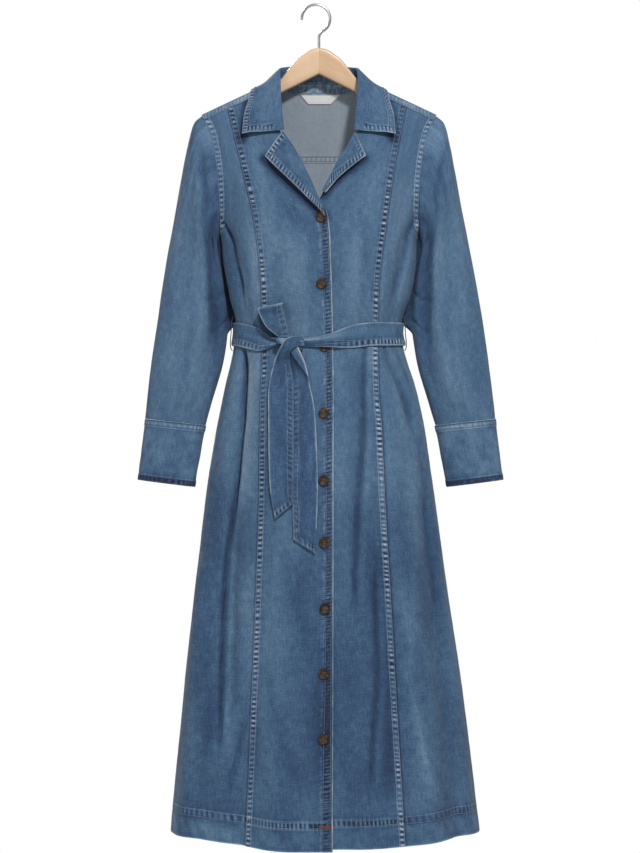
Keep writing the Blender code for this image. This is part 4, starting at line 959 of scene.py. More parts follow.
def make_threads():
    """Every row of stitches as small closed beads, joined to one object for each part of the dress."""
    length, width, height = STITCH
    ring = [(0, 1), (-1, 0), (0, -0.5), (1, 0)]
    shape = [(-length, 0, -0.5 * height)]
    shape += [(s * 0.62 * length, w * width, h * height) for s in (-1, 1) for w, h in ring]
    shape += [(length, 0, -0.5 * height)]
    shape = np.array(shape)
    faces = [(0, 1 + (k + 1) % 4, 1 + k) for k in range(4)]
    faces += [(1 + k, 1 + (k + 1) % 4, 5 + (k + 1) % 4, 5 + k) for k in range(4)]
    faces += [(9, 5 + k, 5 + (k + 1) % 4) for k in range(4)]
    for name, rows in SEWN.items():
        where, ahead, up = (np.concatenate([row[c] for row in rows]) for c in range(3))
        side = unit(np.cross(up, ahead))
        k = np.arange(len(where))
        turn = STITCH_TURN * noise(k * 1.7, 0, 21)[:, None]
        ahead, side = unit(ahead + turn * side), unit(side - turn * ahead)
        points = (
            where[:, None] + shape[None, :, :1] * ahead[:, None] + shape[None, :, 1:2] * side[:, None]
            + shape[None, :, 2:] * up[:, None]
        ).reshape(-1, 3)
        points[:, 0] += CENTRE_X
        every = [tuple(10 * n + v for v in face) for n in range(len(where)) for face in faces]
        mesh = bpy.data.meshes.new(name)
        mesh.from_pydata(points.tolist(), [], every)
        point_values(mesh, "fade", np.repeat(noise(k * 0.37, 3, 22) * 0.7 + noise(k * 1.9, 4, 23) * 0.5, 10))
        made = in_scene(name, mesh, THREADS.get(name, "thread"))
        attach(made, "root")


# ---------------------------------------------------------------- the body's panels
def dress_panel(name, nodes, top, upper_rows, edges, reach, between, sewn, dip=None, hem_drop=0.0, row_step=ROW_STEP):
    """A panel from its top edge to the hem, as the solids' panels are made, with what sewn() adds.

    edges are its two sides' angles by height, reach is how far the fine columns go in from them, and
    between is how many columns lie in the middle. dip() sinks the panel under its neighbour.
    """
    lower = int((UNDERARM_Z - HEM_Z) / row_step)
    lower += (upper_rows + lower + 1) % 2
    levels = np.concatenate([np.full(upper_rows, UNDERARM_Z), np.linspace(UNDERARM_Z, HEM_Z, lower)])[:, None]
    upper = np.zeros_like(levels)
    upper[:upper_rows, 0] = np.linspace(1, 0, upper_rows + 1)[:-1]
    first, last = (np.arange(0, side, EDGE_STEP) for side in reach)
    between += (len(first) + len(last) + between + 1) % 2
    count = len(first) + between + len(last)
    z = np.broadcast_to(levels - 0.2 * upper, (len(levels), count)).copy()
    for _ in range(9):
        start, end = edges[0](z[:, 0]), edges[1](z[:, -1])
        lengths = row_lengths(start, end, z.mean(1))
        u = shares(lengths, first, last, between)
        trim = (GAP / 2 / lengths)[:, None]
        u = trim + u * (1 - 2 * trim)
        angle = start[:, None] * (1 - u) + end[:, None] * u
        x = body(angle, z)[..., 0]
        z = levels + upper * (top(x) - UNDERARM_Z)
    low = ease((LOW_SKIRT_Z - levels) / (LOW_SKIRT_Z - HEM_Z))
    lift = HEM_SIDE_LIFT * ease((np.abs(np.sin(angle)) - 0.15) / 0.85)
    z = z + low * lift - hem_drop * low**4 * ease(1 - np.abs(angle) / 0.6)
    from_start, from_end = u * lengths[:, None], (1 - u) * lengths[:, None]
    height, fade = body_relief(angle, z)
    above_hem = levels - HEM_Z + 0 * z
    along_hem = angle * HEM_RADIUS
    steps = np.full(count, HEM_PUCKER / 2)  # a light column, then a dark one
    steps[: len(first)] = steps[count - len(last) :] = EDGE_STEP
    along_columns = np.cumsum(steps) - np.sum(steps[: len(first) + 1])
    rise, tone = ladder(
        above_hem - HEM_DEPTH + HEM_STRIP / 2, along_columns[None, :], 31, HEM_STRIP,
        0.75 - 0.35 * (np.abs(angle) > 0.62), slant=0.0,
        base=0.05 - 0.35 * ease(angle / 0.1) * (np.cos(angle) > 0), pitch=HEM_PUCKER, sway=0.0,
    )
    hem = above_hem < HEM_DEPTH + 0.02
    height, fade = height + rise * hem, fade + tone * hem
    roping = noise(along_hem / 0.014 + above_hem / 0.02, above_hem / 0.05, 32)
    low_hem = bell(above_hem - 0.018, 0.016)
    height = height + 0.0006 * roping * low_hem
    fade = fade + (0.35 * roping + 0.30 * ease(0.5 - np.sin(angle))) * low_hem
    fade = fade + edge_worn(above_hem, 33, along_hem)
    rise, tone, raised = sewn(from_start, from_end, z, angle)
    height, fade = height + rise, fade + tone
    sunk = dip(angle, z) if dip else 0 * z
    wall = np.where(above_hem < HEM_DEPTH, HEM_WALL, WALL)
    outer = moved_out(body, angle, z, raised + height - sunk)
    inner = moved_out(body, angle, z, below(np.minimum(height, 0.0)) - wall - sunk)
    piece = Piece(name, outer, inner, fade)
    piece.wear(nodes, ["back_yoke"])
    piece.distances = from_start.mean(0), from_end.mean(0)
    sides = (HEM_DEPTH - HEM_STRIP / 2 + STITCH_IN, HEM_DEPTH + HEM_STRIP / 2 - STITCH_IN)
    for side in sides:
        sew("stitches_hem", *piece.row_line(nearest(levels[:, 0] - HEM_Z, side)))
    return piece


def sew_column(thread, piece, side, distance, top_z=0.0, bottom_z=-2.0):
    """Stitches along a panel's side, between two heights."""
    line, normal = piece.at(slice(None), nearest(piece.distances[side], distance))
    keep = (line[:, 2] < top_z) & (line[:, 2] > bottom_z)
    sew(thread, line[keep], normal[keep])


def strip_rise(from_edge, width=SEAM_WIDTH):
    """A felled seam stands out, with a rounded step beside it."""
    return SEAM_RISE * ease((width + SEAM_STEP - from_edge) / SEAM_STEP)


def felled(from_edge, along, seed, width=SEAM_WIDTH, strength=1.0, base=0.0):
    """A felled seam's puckers, their fade, and how far its strip stands out."""
    rise, tone = ladder(from_edge, along, seed, width, strength, base=base)
    near = from_edge < 0.03
    return rise * near, tone * near, strip_rise(from_edge, width)


def seam(rows, side):
    """The body's angle along a seam or an edge in front, by height."""
    return lambda z: angle_at(column(rows, side, z), z)


def holes(angle, z):
    """Unfaded cloth round the buttonholes and under the hem's bar tack."""
    x = body(angle, z)[..., 0]
    dark = 0 * x
    for place in BUTTONS:
        spot = bell(x - place.x - 0.0030, 0.0050) * bell(z - place.z + 0.0020, 0.0125)
        dark = np.maximum(dark, spot * (0.75 + 0.5 * noise(x / 0.0020, z / 0.0024, 46)))
    start, end, height = HEM_BAR
    bar = ease((x - start + 0.014) / 0.004) * ease((end + 0.003 - x) / 0.002) * bell(z - height, 0.0040)
    return np.maximum(dark, bar)


def make_bars():
    """Dense stitches: the buttonholes', and the bar tacks at the hem and at the side pockets' ends."""
    def line_between(x0, z0, x1, z1, proud):
        t = np.linspace(0, 1, 41)
        x, z = x0 + (x1 - x0) * t, z0 + (z1 - z0) * t
        line = front(x, z, proud)
        return line, unit(front(x, z, proud + 0.004) - line)

    for number, place in enumerate(BUTTONS):
        if number != HIDDEN_BUTTON:
            for shift in (-0.0010, 0.0010):
                x = place.x + 0.0012 + shift
                hole = line_between(x, place.z + 0.0115, x, place.z - 0.0125, 0.0007)
                sew("stitches_buttonholes", *hole, pitch=0.0011)
    start, end, height = HEM_BAR
    for shift in (-0.0020, -0.0007, 0.0007, 0.0020):
        line, normal = line_between(start, height + shift, end, height + shift, 0.0016)
        sew("stitches_bars", line, normal, pitch=0.0020)
    for x, z in POCKET_BARS:
        for shift in (-0.0010, 0.0002, 0.0014):
            line, normal = line_between(x + shift, z + 0.0045, x + shift, z - 0.0045, 0.0010)
            sew("stitches_bars", line, normal, pitch=0.0020)


def under_lap(angle, z):
    """How far the left front sinks under the right one."""
    lap = seam(FRONT_EDGE, "right")(z)
    at_hem = (HEM_WALL - WALL) * ease((-1.30 - z) / 0.04)
    return (LAP_DIP * ease((-0.28 - z) / 0.05) + at_hem) * ease((lap + 0.16 - angle) / 0.12)


def placket(from_edge, z):
    """The buttons' strip along the right front's edge: its height, and its fade with the buttonholes' wear."""
    buttoned = ease((-0.335 - z) / 0.02)
    width = PLACKET_OUT - PLACKET_IN + 2 * STITCH_IN
    rise, tone = ladder(from_edge - PLACKET_IN + STITCH_IN, -z, 42, width, 0.85, -0.55, -0.70, 0.0060)
    fringe = 0.4 + noise(from_edge / 0.0016 + z / 0.004, z / 0.0030, 45)
    tone = tone + 0.7 * bell(from_edge - 0.0122, 0.0022) * fringe
    close = (from_edge < 0.025) * buttoned
    return 0.8 * rise * close, 0.8 * tone * close + edge_worn(from_edge, 43, z, 0.0015) * buttoned * 1.5


def make_center_fronts():
    def sewn_right(from_start, from_end, z, angle):
        rise, tone, raised = felled(from_start, -z, 41, STRIP, base=straight(SEAM_TONES, "right", z))
        edge_rise, edge_tone = placket(from_end, z)
        return rise + edge_rise, tone + edge_tone - 1.2 * holes(angle, z), raised

    def sewn_left(from_start, from_end, z, angle):
        return felled(from_end, -z, 44, STRIP, base=straight(SEAM_TONES, "left", z))

    right = dress_panel(
        "dress_center_right", ["bodice_center_right", "skirt_center_right"], front_top, UPPER_ROWS,
        (seam(PRINCESS, "right"), seam(FRONT_EDGE, "right")), (0.016, 0.024), 30, sewn_right, hem_drop=0.004,
    )
    left = dress_panel(
        "dress_center_left", ["bodice_center_left", "skirt_center_left"], front_top, UPPER_ROWS,
        (seam(FRONT_EDGE, "left"), seam(PRINCESS, "left")), (0.002, 0.016), 34, sewn_left, dip=under_lap,
    )
    for piece, side in ((right, 0), (left, 1)):
        for distance in (STITCH_IN, STRIP - STITCH_IN):
            sew_column("stitches_princess", piece, side, distance)
    for distance in (PLACKET_IN, PLACKET_OUT):
        sew_column("stitches_placket", right, 1, distance, top_z=PLACKET_TOP)


def side_and_armhole(outer, z, seed, puckers):
    """The outer side of a panel: the armhole's felled seam above, and the dress's side seam below."""
    rise, tone, raised = puckers
    above = ease((z - UNDERARM_Z) / 0.012)
    along_side = side_seam(outer, z, seed) * (1 - above)
    return rise * above + SIDE_SEAM_RISE * along_side, tone * above + 0.5 * along_side, raised * above


def make_side_fronts():
    def armhole(z):
        return np.where(z > UNDERARM_Z, np.abs(angle_at(column(ARMHOLE, "x", z), z)), pi / 2)

    for name, outer_side, seed in (("right", 0, 51), ("left", 1, 54)):
        def sewn(from_start, from_end, z, angle):
            outer, inner = (from_end, from_start) if outer_side else (from_start, from_end)
            puckers = felled(outer, -z, seed, ARM_STRIP, 0.7, 0.34)
            rise, tone, raised = side_and_armhole(outer, z, seed + 1, puckers)
            beside = bell(inner, 0.0016)
            return rise - SEAM_DIP * beside, tone - 0.8 * beside, raised

        edges = (lambda z: -armhole(z), seam(PRINCESS, name)), (seam(PRINCESS, name), armhole)
        piece = dress_panel(
            f"dress_side_{name}", [f"bodice_side_{name}", f"skirt_side_{name}"], front_top, UPPER_ROWS,
            edges[outer_side], ((0.016, 0.006), (0.006, 0.016))[outer_side], 34, sewn, row_step=SIDE_ROW_STEP,
        )
        for distance in (STITCH_IN, ARM_STRIP - STITCH_IN):
            sew_column("stitches_armhole", piece, outer_side, distance, bottom_z=UNDERARM_Z + SEAM_END)
        sew_column("stitches_side", piece, outer_side, SIDE_STITCH_IN, top_z=SIDE_STITCH_TOP)


def make_side_bands():
    """The seam allowances inside both sides of the dress."""
    for name, middle in (("right", -pi / 2), ("left", pi / 2)):
        z = np.linspace(UNDERARM_Z - SEAM_END, HEM_Z + BAND_END, 301)[:, None]
        across = np.linspace(-SIDE_BAND, SIDE_BAND, 9)
        angle = middle + across / column(RINGS, "half_width", z)
        lift = HEM_SIDE_LIFT * ease((LOW_SKIRT_Z - z) / (LOW_SKIRT_Z - HEM_Z))
        z = z + lift + 0 * angle
        near = np.where(z < HEM_Z + HEM_SIDE_LIFT + HEM_DEPTH + 0.004, HEM_WALL, WALL) + BAND_CLEAR
        near = below(np.minimum(body_relief(angle, z)[0], 0)) - near
        walls = moved_out(body, angle, z, near - BAND_WALL), moved_out(body, angle, z, near)
        Piece(f"side_band_{name}", *walls, 0 * z, sides=(0.9, 0.9)).wear([], ["dress_back"])


def side_seam(from_edge, z, seed):
    """Light and dark along the seam at the dress's side."""
    return bell(from_edge - 0.001, 0.0022) * (0.7 + noise(z / 0.007, 1, seed)) * 0.5


def make_back_panel():
    def sewn(from_start, from_end, z, angle):
        outer = np.minimum(from_start, from_end)
        puckers = felled(outer, -z + (angle > pi) * 0.5, 61, strength=0.8)
        rise, tone, raised = side_and_armhole(outer, z, 62, puckers)
        top = bell(YOKE_SEAM_Z - z, 0.0012)
        return rise - SEAM_DIP * top, tone - 0.35 * top, raised

    piece = dress_panel(
        "dress_back", ["bodice_back", "skirt_back"], lambda x: YOKE_SEAM_Z - GAP / 2 + 0 * x, BACK_UPPER_ROWS,
        (back_armhole, lambda z: 2 * pi - back_armhole(z)), (0.014, 0.014), 110, sewn, row_step=BACK_ROW_STEP,
    )
    for side in (0, 1):
        for distance in (STITCH_IN, SEAM_WIDTH - STITCH_IN):
            sew_column("stitches_armhole", piece, side, distance, bottom_z=UNDERARM_Z + SEAM_END)


def make_yoke():
    """Over both shoulders, from the neck and the seams in front to the seam across the back."""
    turns = through([[t] for t in (0, 22, 40, 53, 62, 69, 76, 82, 90)], 73)[:, 0]
    neck_x, neck_along = neck_edge(np.radians(np.clip(turns, 0, 90)))
    seam_x = np.linspace(NECK_HALF_WIDTH, YOKE_END_X, 56)[1:]
    x = np.concatenate([neck_x, seam_x])
    along = np.concatenate([neck_along, 0 * seam_x + neck_along[-1]])
    start = np.stack([x, along], axis=-1)
    last_x = YOKE_END_X * np.linspace(0, 1, len(x)) ** 0.9
    parts = np.concatenate([np.linspace(0, 0.30, 36), np.linspace(0.30, 1, 66)[1:]])[:, None]

    def seam_along(at):
        return FOLD_RADIUS * (pi / 2 - 1) + ridge(at) - YOKE_SEAM_Z - GAP / 2

    last = np.stack([last_x, seam_along(last_x)], axis=-1)
    half = start + (last - start) * parts[..., None]
    reach = np.maximum(half[..., 0] - YOKE_FREE_X, 0) / (YOKE_END_X - YOKE_FREE_X)
    for _ in range(6):
        limit = column(ARMHOLE, "x", ridge(half[..., 0]) - ridge_drop(half[..., 1])) - GAP
        half[..., 0] = np.where(reach > 0, YOKE_FREE_X + reach * (limit - YOKE_FREE_X), half[..., 0])
        half[..., 1] = start[:, 1] + (seam_along(half[-1, :, 0]) - start[:, 1]) * parts
    other = half[:, :0:-1] * np.array([-1, 1])
    grid = np.concatenate([other, half], axis=1)
    u, v = grid[..., 0], grid[..., 1]
    beyond_neck = ease((np.abs(u) - NECK_HALF_WIDTH + 0.004) / 0.004)
    from_front = v - neck_along[-1]
    from_back = np.abs(seam_along(u) - v)
    front_rise, front_tone = ladder(from_front, np.abs(u) * 1.08, 71, YOKE_STRIP, 0.8, base=0.46, pitch=0.0060)
    back_rise, back_tone = ladder(from_back, u, 72)
    soft = 0.0005 * noise(u / 0.03, v / 0.03, 73)
    height = front_rise * beyond_neck * (from_front < 0.016) + back_rise * (from_back < 0.03) + soft * (v > 0.03)
    height = height + strip_rise(from_front, 0.0111) * beyond_neck + strip_rise(from_back)
    fade = front_tone * beyond_neck * (from_front < 0.02) + back_tone * (from_back < 0.03)
    fade = fade + 0.2 * noise(u / 0.03, v / 0.05, 74) + 0.12 * noise(u / 0.011, v / 0.02, 75)
    piece = Piece("dress_yoke", moved_out(shoulder, u, v, height), moved_out(shoulder, u, v, 0 * height - WALL), fade)
    piece.wear(["back_yoke"], ["hanger_body"])
    for side in (slice(0, len(seam_x) + 1), slice(-len(seam_x) - 1, None)):
        for distance in (STITCH_IN, YOKE_STRIP - STITCH_IN):
            sew("stitches_yoke", *piece.at(nearest(from_front[:, -1], distance), side))
    for distance in (STITCH_IN, SEAM_WIDTH - STITCH_IN):
        sew("stitches_yoke", *piece.row_line(nearest(from_back[:, from_back.shape[1] // 2], distance)))


def make_seam_inside():
    """The yoke's seam seen through the neck: a band on the inside, with its two rows of stitches."""
    x, across = np.meshgrid(np.linspace(-0.165, 0.165, 211), np.linspace(0, INSIDE_STRIP, 13))
    z = YOKE_SEAM_Z + 0.0035 - across
    angle = pi - angle_at(x, z)
    rise, tone = ladder(across, x, 76, INSIDE_STRIP, 0.8)
    walls = moved_out(body, angle, z, -WALL - 0.0010 - rise), moved_out(body, angle, z, 0 * rise - WALL - 0.0001)
    piece = Piece("yoke_seam_inside", *walls, tone + 0.1, sides=(0.8, 0.8))
    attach(piece.object, "root")
    for distance in (STITCH_IN, INSIDE_STRIP - STITCH_IN):
        sew("stitches_yoke_inside", *piece.row_line(nearest(across[:, 0], distance)))


# ---------------------------------------------------------------- sleeves and cuffs
SLEEVE_CREASES = table(  # path: (station from the armhole to the cuff, angle in degrees; 0 outer fold, 90 front)
    "depth half_width path",
    (-0.0050, 9, ((0.6, 128), (3.0, 122), (6.0, 124), (8.6, 134))),
    (0.0030, 14, ((1.0, 98), (3.5, 96), (6.5, 100), (9.0, 104))),
    (-0.0024, 12, ((2.5, 60), (4.5, 70), (6.5, 78), (8.5, 72))),
    (-0.0030, 8, ((5.2, 160), (5.8, 130), (6.2, 106))),
    (-0.0026, 8, ((6.4, 165), (6.9, 140), (7.2, 118))),
    (-0.0030, 9, ((3.0, 240), (5.0, 250), (8.0, 244))),
    (-0.0028, 8, ((5.6, 205), (6.0, 232), (6.3, 258))),
    (0.0022, 12, ((1.0, 285), (4.0, 290), (8.0, 284))),
    (-0.0024, 7, ((8.4, 60), (9.2, 64), (10.0, 62))),
    (-0.0024, 7, ((8.8, 112), (9.4, 108), (10.0, 110))),
)
SLEEVE_DRAG = table(  # a long fold down each sleeve's front, by its distance from the middle
    "z right left",
    (-0.2363, 0.1947, 0.2100),
    (-0.2611, 0.1930, 0.2063),
    (-0.3106, 0.1889, 0.1947),
    (-0.3683, 0.1872, 0.1898),
    (-0.4261, 0.1815, 0.1848),
    (-0.4921, 0.1765, 0.1815),
    (-0.5581, 0.1732, 0.1799),
    (-0.6241, 0.1710, 0.1782),
)
DRAG_SHADE = {"right": 0.42, "left": 0.30}  # painted shade on the cloth between that fold and the dress
SLEEVE_ROUND = 112  # columns round a sleeve or a cuff
LOBE_ENDS = (-0.335, -0.300, -0.520, -0.548)  # heights where the sleeve's back rests against the bodice
LOBE_UNDER = 0.004
LOBE_BACK = 0.012
# how much painted shade darkens each sleeve's back in the gap beside the bodice
LOBE_SHADE = {"right": 0.9, "left": 0.5}
TUCK = 0.0032  # how far a sleeve's seam allowance reaches in
CUFF_LENGTH = 0.1054
CUFF_STRIP = 0.0105
CUFF_RADIUS = 0.034  # turns a cuff's angle into a length round it


def sleeve_drag(points, side):
    """Height of the long fold down a sleeve's front, and painted shade in the fold and between it and the dress."""
    x, z = np.abs(points[..., 0]), points[..., 2]
    away = x - straight(SLEEVE_DRAG, side, z)
    window = ease((-0.222 - z) / 0.040) * (1 - 0.62 * ease((-0.500 - z) / 0.090)) * ease((z + 0.735) / 0.08)
    height = -0.0024 * bell(away, 0.0055) * window * (points[..., 1] < points[..., 1].mean(axis=1, keepdims=True))
    return height, -(DRAG_SHADE[side] * ease(1 - away / 0.0145) + 0.24 * bell(away, 0.0060)) * window


def sleeve_relief(angle, along, seed):
    """Height and fade of a sleeve's creases and its uneven cloth, with painted shade in the creases and on the side
    towards the dress.
    """
    degrees = np.degrees(angle)
    height, tone = np.zeros(degrees.shape), np.zeros(degrees.shape)
    for crease in SLEEVE_CREASES:
        stations = np.array([p[0] for p in crease.path])
        centre = np.interp(along, stations, [p[1] for p in crease.path]) + 4 * noise(along, 0, seed)
        inside = ease((along - stations[0] + 0.5) / 1.0) * ease((stations[-1] + 0.5 - along) / 1.0)
        away = np.abs(turned(degrees - centre))
        shape = np.exp(-((away / crease.half_width) ** 1.6))
        height += crease.depth * inside * shape
        # painted shade in the crease
        tone += 45 * crease.depth * inside * shape
    u = angle * 0.04
    height += 0.0008 * noise(u / 0.03, along / 1.8, seed + 1) + 0.0003 * noise(u / 0.012, along / 0.5, seed + 2)
    tone += 0.16 * noise(u / 0.022, along / 1.6, seed + 3) + 0.07 * noise(u / 0.009, along / 0.45, seed + 4)
    streaks = noise(u / 0.0045 + 0.35 * along, along / 2.6, seed + 5) * ease((7 - along) / 5)
    # painted shade on the side that faces the dress
    painted_inner_shade = bell((degrees - 138) / 26, 1) * ease((9.5 - along) / 4)
    tone = tone + 0.04 + 0.22 * streaks - 0.16 * painted_inner_shade
    return height * ease(along / 0.8), tone


def against_body(points, angle, station, side):
    """Fills the gap beside the bodice with the sleeve's back, as its fold lies against the side seam, and gives where
    painted shade darkens that back.
    """
    degrees = np.degrees(angle)
    outward = -1 if side == "right" else 1
    x, z = outward * points[..., 0], points[..., 2]
    fold = x.min(axis=1, keepdims=True)
    room = np.maximum(fold - column(RINGS, "half_width", z) + LOBE_UNDER, 0)
    full, start, last, end = LOBE_ENDS
    window = ease((start - z) / (start - full)) * ease((z - end) / (last - end))
    weight = window * ease((degrees - 160) / 16) * ease((275 - degrees) / 50) * ease(station / 0.7)
    moves = np.zeros_like(points)
    moves[..., 0] = -outward * room * weight
    moves[..., 1] = LOBE_BACK * weight * ease((degrees - 165) / 40)
    return moves, window * ease((degrees - 150) / 14) * ease((275 - degrees) / 50)


def tucked(grid, side):
    """Two more rings before a tube's first: its seam allowance, under the armhole's edge."""
    inward = np.array([0.0055 if side == "right" else -0.0055, 0, 0])
    centre = unit(grid[:1].mean(axis=1, keepdims=True) - grid[:1])
    return np.concatenate([grid[:1] + inward + TUCK * centre, grid[:1] + 0.3 * inward + 0.9 * TUCK * centre, grid])


def cuff_relief(angle, down, seed):
    """Height and fade of a cuff; down is the length from its upper edge."""
    v = down / CUFF_LENGTH * 2
    height = 0.0006 * noise(angle / 0.5, v / 0.5, seed + 5)
    fade = 0.25 * noise(angle / 0.6, v / 0.6, seed + 6) + 0.15 * noise(angle / 0.25, v / 0.2, seed + 7)
    girth, low = angle * CUFF_RADIUS, CUFF_LENGTH - down
    for from_edge, one, strength, base in ((down, seed + 8, 0.35, 0.40), (low, seed + 9, 0.55, -1.15)):
        rise, tone = ladder(from_edge, girth, one, CUFF_STRIP, strength, base=base, pitch=0.0064)
        height += rise * (from_edge < 0.02) + strip_rise(from_edge, CUFF_STRIP)
        fade += tone * (from_edge < 0.02)
    fade += 1.6 * ease(noise(girth / 0.0034, 0, seed + 20) * 1.5) * bell(low - 0.0012, 0.0014)
    # a painted shadow line along the cuff's upper edge
    return height, fade - 0.9 * bell(down, 0.0010)


def make_sleeve(side, angle, seed):
    angle, along = np.meshgrid(angle, np.linspace(0, 10, 241))
    height, fade = sleeve_relief(angle, along, seed)
    drag_height, drag_tone = sleeve_drag(tube_grid(sleeve_surface, angle, along, 0 * angle, side), side)
    height = height + drag_height
    outer = tube_grid(sleeve_surface, angle, along, height, side)
    inner = tube_grid(sleeve_surface, angle, along, below(np.minimum(height, 0.0)) - WALL, side)
    moves, painted_lobe_shade = against_body(outer, angle, along, side)
    fade = fade + drag_tone - LOBE_SHADE[side] * painted_lobe_shade
    fade = np.concatenate([0 * fade[:2] - 1, fade])
    walls = tucked(outer + moves, side), tucked(inner + moves, side)
    piece = Piece(f"dress_sleeve_{side}", *walls, fade, closed=True, flip=side == "left")
    piece.wear([f"sleeve_{side}"], ["hanger_body"])


def make_cuff(side, angle, seed):
    angle, along = np.meshgrid(angle, np.linspace(0, 2, 61))
    down = along * CUFF_LENGTH / 2
    height, fade = cuff_relief(angle, down, seed)
    inner = below(np.minimum(height, 0.0)) - DOUBLE_WALL
    walls = (tube_grid(cuff_surface, angle, along, proud, side) for proud in (height, inner))
    piece = Piece(f"dress_cuff_{side}", *walls, fade, closed=True, flip=side == "left")
    piece.wear([f"cuff_{side}"], [f"dress_sleeve_{side}"])
    plain = STITCH_IN, CUFF_STRIP - STITCH_IN, CUFF_LENGTH - CUFF_STRIP + STITCH_IN
    for thread, distances in (("stitches_cuffs", plain), ("stitches_cuff_ends", (CUFF_LENGTH - STITCH_IN,))):
        for distance in distances:
            sew(thread, *piece.row_line(nearest(down[:, 0], distance)))


def make_sleeves():
    angle = np.linspace(0, 2 * pi, SLEEVE_ROUND + 1)[:-1] + 1e-3
    for side, seed in (("right", 81), ("left", 91)):
        make_sleeve(side, angle, seed)
        make_cuff(side, angle, seed)


# ---------------------------------------------------------------- collar and lapels
EDGE_ROWS = (0.0025, 0.0098)  # the two rows of stitches along a turned edge
EDGE_LIFT = 0.0062  # collar and lapels stand a little prouder than their solids, at their edges
COLLAR_ROWS, COLLAR_COLUMNS = 157, 61  # of one half, from the middle of the back to the notch


def faces_back(grid):
    """Whether a grid in front of the dress would turn its outer side to it."""
    return float(np.mean(normals_of(grid)[..., 1])) < 0


def thick(name, grid, wall, height, fade, round_edges=(), flip=False, lift=0.0):
    """A wall half on each side of a grid of points; height lifts its outer side."""
    normal = normals_of(grid) * (1 if flip else -1)
    half = wall / 2 * np.ones(grid.shape[:2])
    for distance in round_edges:
        half = half * (0.35 + 0.65 * np.sqrt(1 - (1 - np.clip(distance / (0.7 * wall), 0, 1)) ** 2))
    grid = grid + normal * np.broadcast_to(lift, half.shape)[..., None]
    outer = grid + normal * (half + height)[..., None]
    inner = grid - normal * half[..., None]
    return Piece(name, outer, inner, fade, flip=flip, sides=(0.0, 0.0))


def ruled(rows, count, columns):
    """x and z over a strip given by its left and right edges, and what else its rows hold."""
    lines = through([list(row) for row in rows], count)
    t = np.linspace(0, 1, columns)
    x, z = (lines[:, c : c + 1] * (1 - t) + lines[:, c + 2 : c + 3] * t for c in (0, 1))
    return x, z, lines[:, 4:]


def lengths_along(grid, axis):
    """The length along a grid's rows or columns, from their start to each point."""
    steps = np.linalg.norm(np.diff(grid, axis=axis), axis=2)
    start = np.zeros_like(steps[:1] if axis == 0 else steps[:, :1])
    return np.concatenate([start, np.cumsum(steps, axis=axis)], axis=axis)


def topstitched(distance, along, seed, width=0.0108, strength=0.85, pitch=PUCKER):
    """A turned edge with two rows of stitches: worn at the edge, puckered between the rows."""
    rise, tone = ladder(distance - 0.0008, along, seed, width, strength, pitch=pitch)
    near = distance < 0.02
    return rise * near, tone * near + edge_worn(distance, seed + 1, along)


def make_collar():
    rows = [
        [
            (row.neck, 0, 0),
            row.roll,
            shoulder_place(row.mid_x, row.mid_z, row.behind, row.mid_proud),
            shoulder_place(row.edge_x, row.edge_z, row.behind, row.edge_proud),
        ]
        for row in COLLAR
    ]
    half = []
    for neck, roll, mid, edge in through(rows, COLLAR_ROWS):
        base = collar_base(np.clip(neck[0], 0, 2))
        half.append(through([base, roll, moved_out(shoulder, *mid), moved_out(shoulder, *edge)], COLLAR_COLUMNS))
    half = np.array(half)
    grid = np.concatenate([half[:0:-1] * np.array([-1, 1, 1]), half])
    across = lengths_along(grid, 1)
    from_edge = across[:, -1:] - across
    along = lengths_along(grid, 0)
    from_end = np.minimum(along, along[-1:] - along)
    rise, tone = topstitched(from_edge, along, 101, pitch=0.0060)
    end_rise, end_tone = topstitched(from_end, across, 103, pitch=0.0060)
    outward = across > 0.022
    corner = np.minimum(from_edge, from_end) == from_edge
    height = np.where(corner, rise, end_rise * outward)
    fade = np.where(corner, tone, end_tone * outward)
    behind = ease((0.060 - np.abs(grid[..., 0])) / 0.008) * (grid[..., 1] > -0.01)
    stand = bell(across - 0.010, 0.010) * behind
    pleats = np.cos(2 * pi * (along / 0.0085 + 0.7 * noise(along / 0.02, 0, 105)))
    pleats = pleats + noise(along / 0.006, across / 0.01, 108)
    height = height + 0.0004 * stand * pleats + 0.0006 * noise(along / 0.03, across / 0.02, 106) * outward
    fade = fade + 0.55 * stand * pleats + 0.8 * bell(across - 0.022, 0.0016) * behind
    fade = fade + 0.22 * noise(along / 0.03, across / 0.03, 107) - 0.16
    lift = EDGE_LIFT * ease((across - 0.035) / 0.03) * ease((-0.158 - grid[..., 2]) / 0.035) * (grid[..., 1] < 0)
    piece = thick("dress_collar", grid, DOUBLE_WALL, height, fade, (from_edge, from_end), lift=lift)
    piece.wear(["collar"], ["dress_yoke"])
    make_stand_band(grid, across)
    for distance in EDGE_ROWS:
        k = nearest(from_edge[COLLAR_ROWS], distance)
        trim = nearest(along[:COLLAR_ROWS, k], distance)
        sew("stitches_collar", *piece.at(slice(trim, -trim), k))
        row = nearest(along[:COLLAR_ROWS, -1], distance)
        for r in (row, len(grid) - 1 - row):
            sew("stitches_collar", *piece.at(r, slice(nearest(across[r], 0.024), k + 1)))


